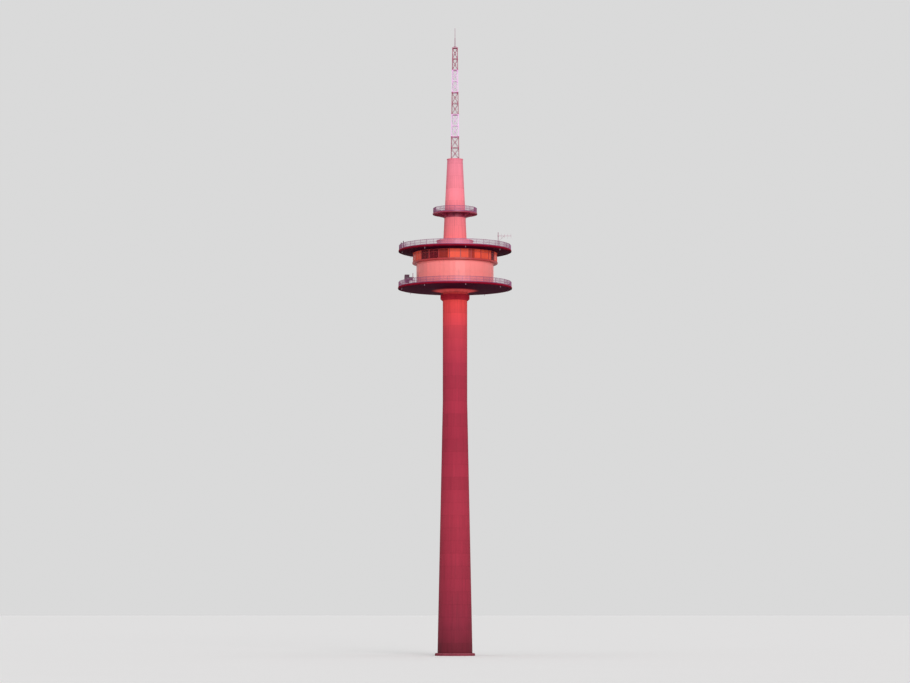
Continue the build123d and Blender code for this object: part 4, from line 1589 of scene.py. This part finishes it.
@dataclass
class LatticeMast(Part):
    """Fine parts of the mast: gussets, flanges, thin bracing, the ladder and the cable run."""

    sections: int = 5
    panels: int = 2
    narrowing: float = 0.03
    leg: float = 0.013
    ring_bar: float = 0.009
    gusset: Size = (0.0016, 0.026, 0.02)
    gusset_inset: float = 0.016
    gusset_out: float = 0.0055
    gusset_bolts: Pair = (0.008, 0.005)
    bolt: Bolt = Bolt(0.0013, 0.0016)
    flange: Size = (0.024, 0.024, 0.003)
    rounding: float = 0.0003
    thin_bar: float = 0.0032
    struts: tuple[Pair, ...] = ((0.25, 0.5), (0.5, 0.0), (0.75, 0.5))
    rung_step: float = 0.028
    rung: float = 0.0014
    ladder_half: float = 0.02
    ladder_rail: Pair = (0.0022, 0.005)
    ladder_bracket: Pair = (0.004, 0.002)
    ladder_inset: float = 0.02
    cables: int = 5
    cable: float = 0.0022
    cable_pitch: float = 0.0057
    cable_inset: float = 0.006
    cable_end: float = 0.12
    cable_drop: float = 0.09
    tray_start: float = 0.02
    tray_step: float = 0.15
    tray: Pair = (0.0016, 0.005)
    tray_gap: float = 0.0055
    tray_reach: float = 0.016
    clamp: Pair = (0.008, 0.003)

    def __post_init__(self) -> None:
        """Reads the mast's places from its first and last section."""
        low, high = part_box("mast_section_1")
        self.foot, self.wide = low.z, high.x
        self.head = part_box(f"mast_section_{self.sections}")[1].z

    def build(self) -> None:
        """Dresses the sections and adds the fine parts."""
        for number in range(1, self.sections + 1):
            self._section(f"mast_section_{number}", Finish.MAST_RED if number % 2 else Finish.MAST_WHITE)
        self._ladder()
        self._cables()

    def _half(self, height: float, inset: float = 0.0) -> float:
        """Half of the mast's width at a height, less an inset."""
        return self.wide - self.narrowing * (height - self.foot) / (self.head - self.foot) - inset

    def _section(self, node: str, finish: Finish) -> None:
        """Dresses one section and adds its gussets, flanges and thin bracing.

        Args:
            node: Name of the section.
            finish: Its paint.
        """
        self.workshop.dress(finish, node)
        low, high = (corner.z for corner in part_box(node))
        form = Form(f"{node}_plates")
        levels = [low + self.ring_bar / 2, (low + high) / 2, high - self.ring_bar / 2]
        for turn in QUARTER_TURNS:
            for level in levels:
                self._gussets(form, turn, level)
            for end, up in ((low, 0.5), (high, -0.5)):
                reach = self._half(end, self.leg / 2)
                form.block(self.flange, (reach, reach, end + up * self.flange[2]), turn, self.rounding)
            self._thin_bracing(form, turn, low, high - low)
        form.finish(self.workshop, finish)

    def _gussets(self, form: Form, turn: Matrix, level: float) -> None:
        """Adds the bolted plates at both ends of a face's horizontal bar.

        Args:
            form: The section's plates.
            turn: Rotation to the face.
            level: Height of the bar.
        """
        plane = self._half(level, self.leg / 2 - self.gusset_out)
        face = plane + self.gusset[0] / 2
        across, up = self.gusset_bolts
        for side in (-1, 1):
            along = side * self._half(level, self.gusset_inset)
            form.block(self.gusset, (plane, along, level), turn, self.rounding)
            spots = [(face, along + y, level + z) for y in (-across, across) for z in (-up, up)]
            self.bolt.stamp(form, [turn @ Matrix.Translation(spot) for spot in spots])

    def _thin_bracing(self, form: Form, turn: Matrix, low: float, rise: float) -> None:
        """Adds thin struts between the diagonals and the legs, and bars in plan.

        Args:
            form: The section's plates.
            turn: Rotation to the face.
            low: Foot of the section.
            rise: Its height.
        """
        step, thin = rise / self.panels, self.thin_bar
        out = turn.to_3x3() @ RIGHT
        for panel in range(self.panels):
            for share, reach in self.struts:
                level = low + (panel + share) * step
                half = self._half(level, self.leg / 2)
                for side in (-1, 1):
                    ends = [turn @ Vector((half, side * half * along, level)) for along in (reach, 1.0)]
                    form.beam(*ends, thin, thin, out)
            level = low + panel * step + self.ring_bar
            half = self._half(level, self.leg / 2)
            form.beam(turn @ Vector((half, 0.0, level)), turn @ Vector((0.0, half, level)), thin, thin, UP)

    def _rail(self, side: float, height: float) -> Vector:
        """Point on one of the ladder's rails."""
        return Vector((side * self.ladder_half, self._half(height, self.leg + self.ladder_inset), height))

    def _ladder(self) -> None:
        """Adds the ladder inside the back face, with brackets to the horizontal bars."""
        form = Form("mast_ladder")
        for side in (-1, 1):
            form.beam(self._rail(side, self.foot), self._rail(side, self.head), *self.ladder_rail, BACK)
        for rung in range(1, int((self.head - self.foot) / self.rung_step)):
            height = self.foot + rung * self.rung_step
            form.rod(self._rail(-1, height), self._rail(1, height), self.rung, HEXAGON)
        levels = self.sections * self.panels
        for level in range(levels):
            height = self.foot + level * (self.head - self.foot) / levels + self.ring_bar / 2
            for side in (-1, 1):
                start = self._rail(side, height)
                end = start + BACK * (self.ladder_inset + self.leg / 2)
                form.beam(start, end, *self.ladder_bracket, UP)
        form.finish(self.workshop, Finish.FITTING)

    def _cables(self) -> None:
        """Adds the feeder cables, clamped side by side inside the left face."""
        cables, tray = Form("mast_feeders"), Form("mast_feeder_tray")
        inset, end = self.leg + self.cable_inset, self.head - self.cable_end
        for index in range(self.cables):
            along = (index - (self.cables - 1) / 2) * self.cable_pitch
            heights = (self.foot, end - index * self.cable_drop)
            ends = [Vector((-self._half(height, inset), along, height)) for height in heights]
            cables.rod(*ends, self.cable)
        grip = (self.clamp[0], self.cable_pitch * self.cables, self.clamp[1])
        for step in range(int((end - self.foot) / self.tray_step) + 1):
            height = self.foot + self.tray_start + step * self.tray_step
            half = self._half(height, inset)
            away = -half - self.tray_gap
            size = (self.tray[0], 2 * half + self.tray_reach, self.tray[1])
            tray.block(size, (away, 0.0, height), rounding=self.rounding)
            tray.block(grip, (away + self.clamp[0] / 2, 0.0, height), rounding=self.rounding)
        cables.finish(self.workshop, Finish.CABLE)
        tray.finish(self.workshop, Finish.FITTING)


@dataclass
class LightningRod(Part):
    """Stiffeners, bolts and sleeves of the rod on the mast's head plate."""

    plate: float = 0.008
    joint: float = 0.19
    stiffener: Size = (0.022, 0.002, 0.03)
    stiffener_out: float = 0.018
    rounding: float = 0.0004
    bolt: Bolt = Bolt(0.003, 0.004)
    bolt_reach: float = 0.04
    foot_sleeve: tuple[Pair, ...] = ((0.0088, 0.0), (0.014, 0.0), (0.012, 0.006), (0.0088, 0.008))
    joint_sleeve: tuple[Pair, ...] = ((0.0049, 0.0), (0.0095, 0.0), (0.0095, 0.004), (0.0049, 0.012))
    sleeve_sides: int = 16

    def build(self) -> None:
        """Dresses the rod and adds its fittings."""
        self.workshop.dress(Finish.FITTING, "lightning_rod")
        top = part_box("lightning_rod")[0].z + self.plate
        form = Form("lightning_rod_fittings")
        for turn in QUARTER_TURNS:
            centre = (self.stiffener_out, 0.0, top + self.stiffener[2] / 2)
            form.block(self.stiffener, centre, turn, self.rounding)
            self.bolt.stand(form, [(self.bolt_reach, self.bolt_reach, top)], turn)
        for height, sleeve in ((top, self.foot_sleeve), (top + self.joint, self.joint_sleeve)):
            form.ring([(radius, height + up) for radius, up in sleeve], self.sleeve_sides)
        form.finish(self.workshop, Finish.FITTING)


@dataclass
class PoleFoot:
    """Bolts on the square foot plate of a pole and the plug in its upper end.

    The plug is a radius and two heights from the pole's head.
    """

    plate: float = 0.005
    reach: float = 0.012
    plug: Size = (0.0078, -0.001, 0.002)
    bolt: Bolt = Bolt(0.002, 0.0026)

    def add(self, form: Form, x: float, foot: float, head: float) -> None:
        """Adds them to a form.

        Args:
            form: The form.
            x: Place of the pole's axis.
            foot: Underside of its plate.
            head: Its upper end.
        """
        sides = (-self.reach, self.reach)
        spots = [(x + out, along, foot + self.plate) for out in sides for along in sides]
        self.bolt.stand(form, spots)
        radius, start, end = self.plug
        form.rod(Vector((x, 0.0, head + start)), Vector((x, 0.0, head + end)), radius, PLUG_SIDES)


@dataclass
class DrumAntenna(Part):
    """Shrouded dish on its pole beside the cabin: radome, bands, brackets and conduit.

    A band is a height over the shell and a width. A stud is where it starts, its place across, its
    length and its radius; a nut is its two ends along the stud and its radius; the conduit is its
    place outwards and across and its radius.
    """

    edge: float = 0.002
    dome: float = 0.009
    dome_rings: int = 8
    dome_inset: float = 0.004
    band: Pair = (0.0025, 0.006)
    bands: tuple[float, ...] = (0.002, 0.044, 0.084)
    sunk: float = 0.001
    steps: int = 48
    clamp_rise: float = 0.03
    clamp: Size = (0.022, 0.05, 0.012)
    plate: Size = (0.003, 0.06, 0.09)
    plate_x: float = -0.0115
    stud: tuple[float, float, float, float] = (-0.026, 0.02, 0.05, 0.0018)
    nut: Size = (0.04, 0.043, 0.0032)
    conduit: Size = (0.0115, 0.012, 0.0032)
    conduit_gap: float = 0.05
    clip: Size = (0.018, 0.018, 0.004)
    clip_rises: Pair = (0.04, 0.1)
    rounding: float = 0.0008

    def __post_init__(self) -> None:
        """Reads the dish's places from its solid."""
        low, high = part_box("drum_antenna")
        self.radius = (high.z - low.z) / 2
        self.face = Vector((low.x, 0.0, (low.z + high.z) / 2))

    def build(self) -> None:
        """Dresses the dish and its pole and adds their fine parts."""
        self.workshop.dress(Finish.FITTING, "antenna_pole")
        shell = Form("drum_antenna_shroud")
        shell.soften("drum_antenna", self.edge)
        shell.finish(self.workshop, Finish.SHROUD, "drum_antenna")

        cover = Form("drum_antenna_radome")
        rim = self.radius - self.dome_inset
        turns = [QUARTER * ring / self.dome_rings for ring in range(self.dome_rings + 1)]
        arc = [(rim * sin(turn), self.dome * cos(turn)) for turn in turns]
        cover.turned(arc + [(rim, -self.sunk), (0.0, -self.sunk)], self.face, -RIGHT, self.steps)
        cover.finish(self.workshop, Finish.RADOME)

        bands = Form("drum_antenna_bands")
        out, width = self.band
        inner, outer = self.radius - self.sunk, self.radius + out
        for start in self.bands:
            section = [(inner, -start), (outer, -start), (outer, -start - width), (inner, -start - width)]
            bands.turned(section + section[:1], self.face, -RIGHT, self.steps)
        bands.finish(self.workshop, Finish.SHROUD)
        self._mount()

    def _mount(self) -> None:
        """Adds the clamps that hold the dish to its pole, and the conduit that runs up to it."""
        foot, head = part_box("antenna_pole")
        axis = (foot.x + head.x) / 2
        form = Form("drum_antenna_mount")
        start_x, across, length, thin = self.stud
        for side in (-1, 1):
            level = self.face.z + side * self.clamp_rise
            form.block(self.clamp, (axis, 0.0, level), rounding=self.rounding)
            for along in (-across, across):
                start = Vector((axis + start_x, along, level))
                form.rod(start, start + RIGHT * length, thin)
                form.rod(start + RIGHT * self.nut[0], start + RIGHT * self.nut[1], self.nut[2], HEXAGON)
        form.block(self.plate, (axis + self.plate_x, 0.0, self.face.z), rounding=self.rounding)
        x, y, radius = self.conduit
        start = Vector((axis + x, y, foot.z))
        form.rod(start, Vector((start.x, start.y, self.face.z - self.conduit_gap)), radius, PIPE_SIDES)
        for rise in self.clip_rises:
            form.block(self.clip, (axis + x / 2, y / 2, foot.z + rise), rounding=self.rounding)
        PoleFoot().add(form, axis, foot.z, head.z)
        form.finish(self.workshop, Finish.FITTING)


@dataclass
class SideArm(Part):
    """Clamps, stay and end caps of the arm with upright rods.

    A stud is half its length, its place across and its radius; the stay is its drop, its reach and
    its radius; a rod's cap is its radius and length.
    """

    plate_half: float = 0.018
    arm_rise: float = 0.3
    clamp: Size = (0.026, 0.03, 0.018)
    stud: Size = (0.017, 0.011, 0.0016)
    stay: Size = (0.12, 0.12, 0.0024)
    stay_clamp: Size = (0.018, 0.02, 0.012)
    rods: int = 4
    rod_clamp: Size = (0.009, 0.011, 0.012)
    rod_half: float = 0.042
    rod_cap: Pair = (0.0028, 0.002)
    arm_half: float = 0.0035
    rounding: float = 0.0008

    def build(self) -> None:
        """Dresses the arm and adds its fittings."""
        self.workshop.dress(Finish.FITTING, "side_arm_antenna")
        low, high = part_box("side_arm_antenna")
        axis, level = low.x + self.plate_half, low.z + self.arm_rise
        form = Form("side_arm_fittings")
        form.block(self.clamp, (axis, 0.0, level), rounding=self.rounding)
        reach, across, thin = self.stud
        for along in (-across, across):
            form.rod(Vector((axis - reach, along, level)), Vector((axis + reach, along, level)), thin)
        drop, out, thin = self.stay
        form.rod(Vector((axis, 0.0, level - drop)), Vector((axis + out, 0.0, level)), thin)
        form.block(self.stay_clamp, (axis, 0.0, level - drop), rounding=self.rounding)
        spacing, (radius, length) = (high.x - axis) / self.rods, self.rod_cap
        for element in range(1, self.rods + 1):
            x = axis + element * spacing - self.arm_half
            form.block(self.rod_clamp, (x, 0.0, level), rounding=self.rounding)
            for side in (-1, 1):
                end = Vector((x, 0.0, level + side * self.rod_half))
                form.rod(end - UP * side * length, end, radius)
        PoleFoot().add(form, axis, low.z, high.z)
        form.finish(self.workshop, Finish.FITTING)


@dataclass
class PanelAntennas(Part):
    """Rounded covers, brackets, caps and sockets of the four upright panel antennas.

    A socket is its place across, its length and its radius.
    """

    turns: tuple[float, ...] = (162.0, 174.0, 186.0, 198.0)
    radius: float = 1.08
    edge: float = 0.0022
    half_depth: float = 0.006
    behind: float = 0.0145
    bracket: Size = (0.014, 0.012, 0.007)
    bracket_rises: Pair = (0.045, 0.112)
    foot: Size = (0.016, 0.016, 0.0016)
    cap: Size = (0.0135, 0.0275, 0.004)
    cap_rises: Pair = (0.0275, 0.1545)
    socket: Size = (0.006, 0.008, 0.0022)
    lift: float = 0.026
    rounding: float = 0.0008

    def build(self) -> None:
        """Shows the panels with round edges and adds their fittings."""
        panels = Form("panel_antenna_covers")
        panels.soften("panel_antennas", self.edge)
        panels.finish(self.workshop, Finish.SHROUD, "panel_antennas")
        brackets, caps = Form("panel_antenna_brackets"), Form("panel_antenna_caps")
        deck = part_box("panel_antennas")[0].z
        across, length, radius = self.socket
        for turn in self.turns:
            place = standing(self.radius, turn, deck)
            for rise in self.bracket_rises:
                brackets.block(self.bracket, (-self.behind, 0.0, rise), place, self.rounding)
            brackets.block(self.foot, (-self.behind, 0.0, self.foot[2] / 2), place, self.rounding / 2)
            for rise in self.cap_rises:
                caps.block(self.cap, (-self.half_depth, 0.0, rise), place, self.rounding)
            for side in (-across, across):
                top = place @ Vector((-self.half_depth, side, self.lift))
                caps.rod(top - UP * length, top, radius, PIPE_SIDES)
        brackets.finish(self.workshop, Finish.FITTING)
        caps.finish(self.workshop, Finish.RADOME)


@dataclass
class Door(Part):
    """Handle, hinges, lock and vent of one door.

    A hinge is its place outwards, half its length and its radius; the grip is its reach, its length
    and its radius; the lock is its reach and radius; a slat is a depth and a height.
    """

    node: str
    turn: float
    hinge_shares: tuple[float, ...] = (0.14, 0.5, 0.86)
    hinge: Size = (0.001, 0.009, 0.0018)
    hinge_leaf: Size = (0.001, 0.012, 0.012)
    grip_inset: float = 0.009
    grip_share: float = 0.49
    grip_plate: Size = (0.0012, 0.006, 0.026)
    grip: Size = (0.006, 0.015, 0.0015)
    lock_share: float = 0.42
    lock: Pair = (0.0018, 0.002)
    vent_share: float = 0.12
    vent_spread: float = 1.1
    slats: int = 7
    slat: Pair = (0.0035, 0.0008)
    slat_step: float = 0.0055
    slat_tilt: float = 35.0

    def __post_init__(self) -> None:
        """Reads the leaf's places from its solid."""
        out, across = polar(1.0, self.turn, 0.0), polar(1.0, self.turn + TURN / 4, 0.0)
        low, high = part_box(self.node)
        self.half = max(corner.dot(across) for corner in corners(self.node))
        self.rise = high.z - low.z
        self.place = standing(max(corner.dot(out) for corner in corners(self.node)), self.turn, low.z)

    def build(self) -> None:
        """Dresses the leaf and adds its fittings."""
        self.workshop.dress(Finish.DOOR, self.node)
        self._fittings()
        form = Form(f"{self.node}_vent")
        tilt = Matrix.Rotation(radians(self.slat_tilt), 4, "Y")
        size = (self.slat[0], self.half * self.vent_spread, self.slat[1])
        for slat in range(self.slats):
            level = self.rise * self.vent_share + slat * self.slat_step
            form.block(size, place=self.place @ Matrix.Translation((0.0, 0.0, level)) @ tilt)
        form.finish(self.workshop, Finish.DOOR)

    def _at(self, out: float, along: float, up: float) -> Vector:
        """Point on the leaf: outwards, along it and up from its foot."""
        return self.place @ Vector((out, along, up))

    def _fittings(self) -> None:
        """Adds the hinges, the handle and the lock."""
        form = Form(f"{self.node}_hardware")
        out, half, radius = self.hinge
        for share in self.hinge_shares:
            level, edge = self.rise * share, self.half - radius
            ends = [self._at(out, edge, level + up) for up in (-half, half)]
            form.rod(*ends, radius, PIPE_SIDES)
            centre = (self.hinge_leaf[0] / 2, self.half - self.hinge_leaf[1] / 2, level)
            form.block(self.hinge_leaf, centre, self.place)
        along, level = self.grip_inset - self.half, self.rise * self.grip_share
        reach, length, radius = self.grip
        form.block(self.grip_plate, (0.0, along, level), self.place)
        form.rod(self._at(0.0, along, level), self._at(reach, along, level), radius)
        form.rod(self._at(reach, along - radius, level), self._at(reach, along + length, level), radius)
        level = self.rise * self.lock_share
        out, radius = self.lock
        form.rod(self._at(0.0, along, level), self._at(out, along, level), radius, PIPE_SIDES)
        form.finish(self.workshop, Finish.FITTING)


@dataclass
class BaseDoorway(Part):
    """Threshold and drip moulding of the doorway at the foot of the tower."""

    gap: float = 0.006
    threshold_height: float = 0.0015
    moulding: Size = (0.016, 0.016, 0.004)
    nose: float = 0.004
    sunk: float = 0.0004
    rounding: float = 0.0008

    def build(self) -> None:
        """Dresses the frame and adds the trim."""
        self.workshop.dress(Finish.DOOR, "door_frame")
        low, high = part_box("door_frame")
        width, middle = high.x - low.x, (low.y + high.y) / 2
        wider, depth, height = self.moulding
        form = Form("base_door_trim")
        size = (width - 2 * self.gap, high.y - low.y - height, self.threshold_height)
        form.block(size, (0.0, middle, low.z + self.threshold_height / 2))
        centre = (0.0, high.y + self.nose - depth / 2, high.z + height / 2 - self.sunk)
        form.block((width + wider, depth, height), centre, rounding=self.rounding)
        form.finish(self.workshop, Finish.FITTING)


def main() -> None:
    """Builds the scene part by part."""
    logging.basicConfig(level=logging.INFO, format="%(name)s: %(message)s")
    workshop = Workshop()
    parts: list[Part] = [
        Stage(workshop),
        ConcreteShaft(workshop),
        BaseDoorway(workshop),
        Door(workshop, "door_leaf", DOOR_TURN),
        Door(workshop, "cabin_door", CABIN_DOOR_TURN),
        Door(workshop, "drum_door", DOOR_TURN),
        Platform(workshop, "lower_platform"),
        Platform(workshop, "upper_platform"),
        Railing(workshop, "lower_railing"),
        Railing(workshop, "upper_railing"),
        Railing(workshop, "ring_railing", bays=12, balusters=19, plate=0.014),
        Cabin(workshop),
        WindowBand(workshop),
        RoofDrum(workshop),
        RingWalkway(workshop),
        LatticeMast(workshop),
        LightningRod(workshop),
        DrumAntenna(workshop),
        SideArm(workshop),
        PanelAntennas(workshop),
    ]
    for part in parts:
        part.build()
        LOG.info("%s is in place", type(part).__name__)


if __name__ == "__main__":
    main()
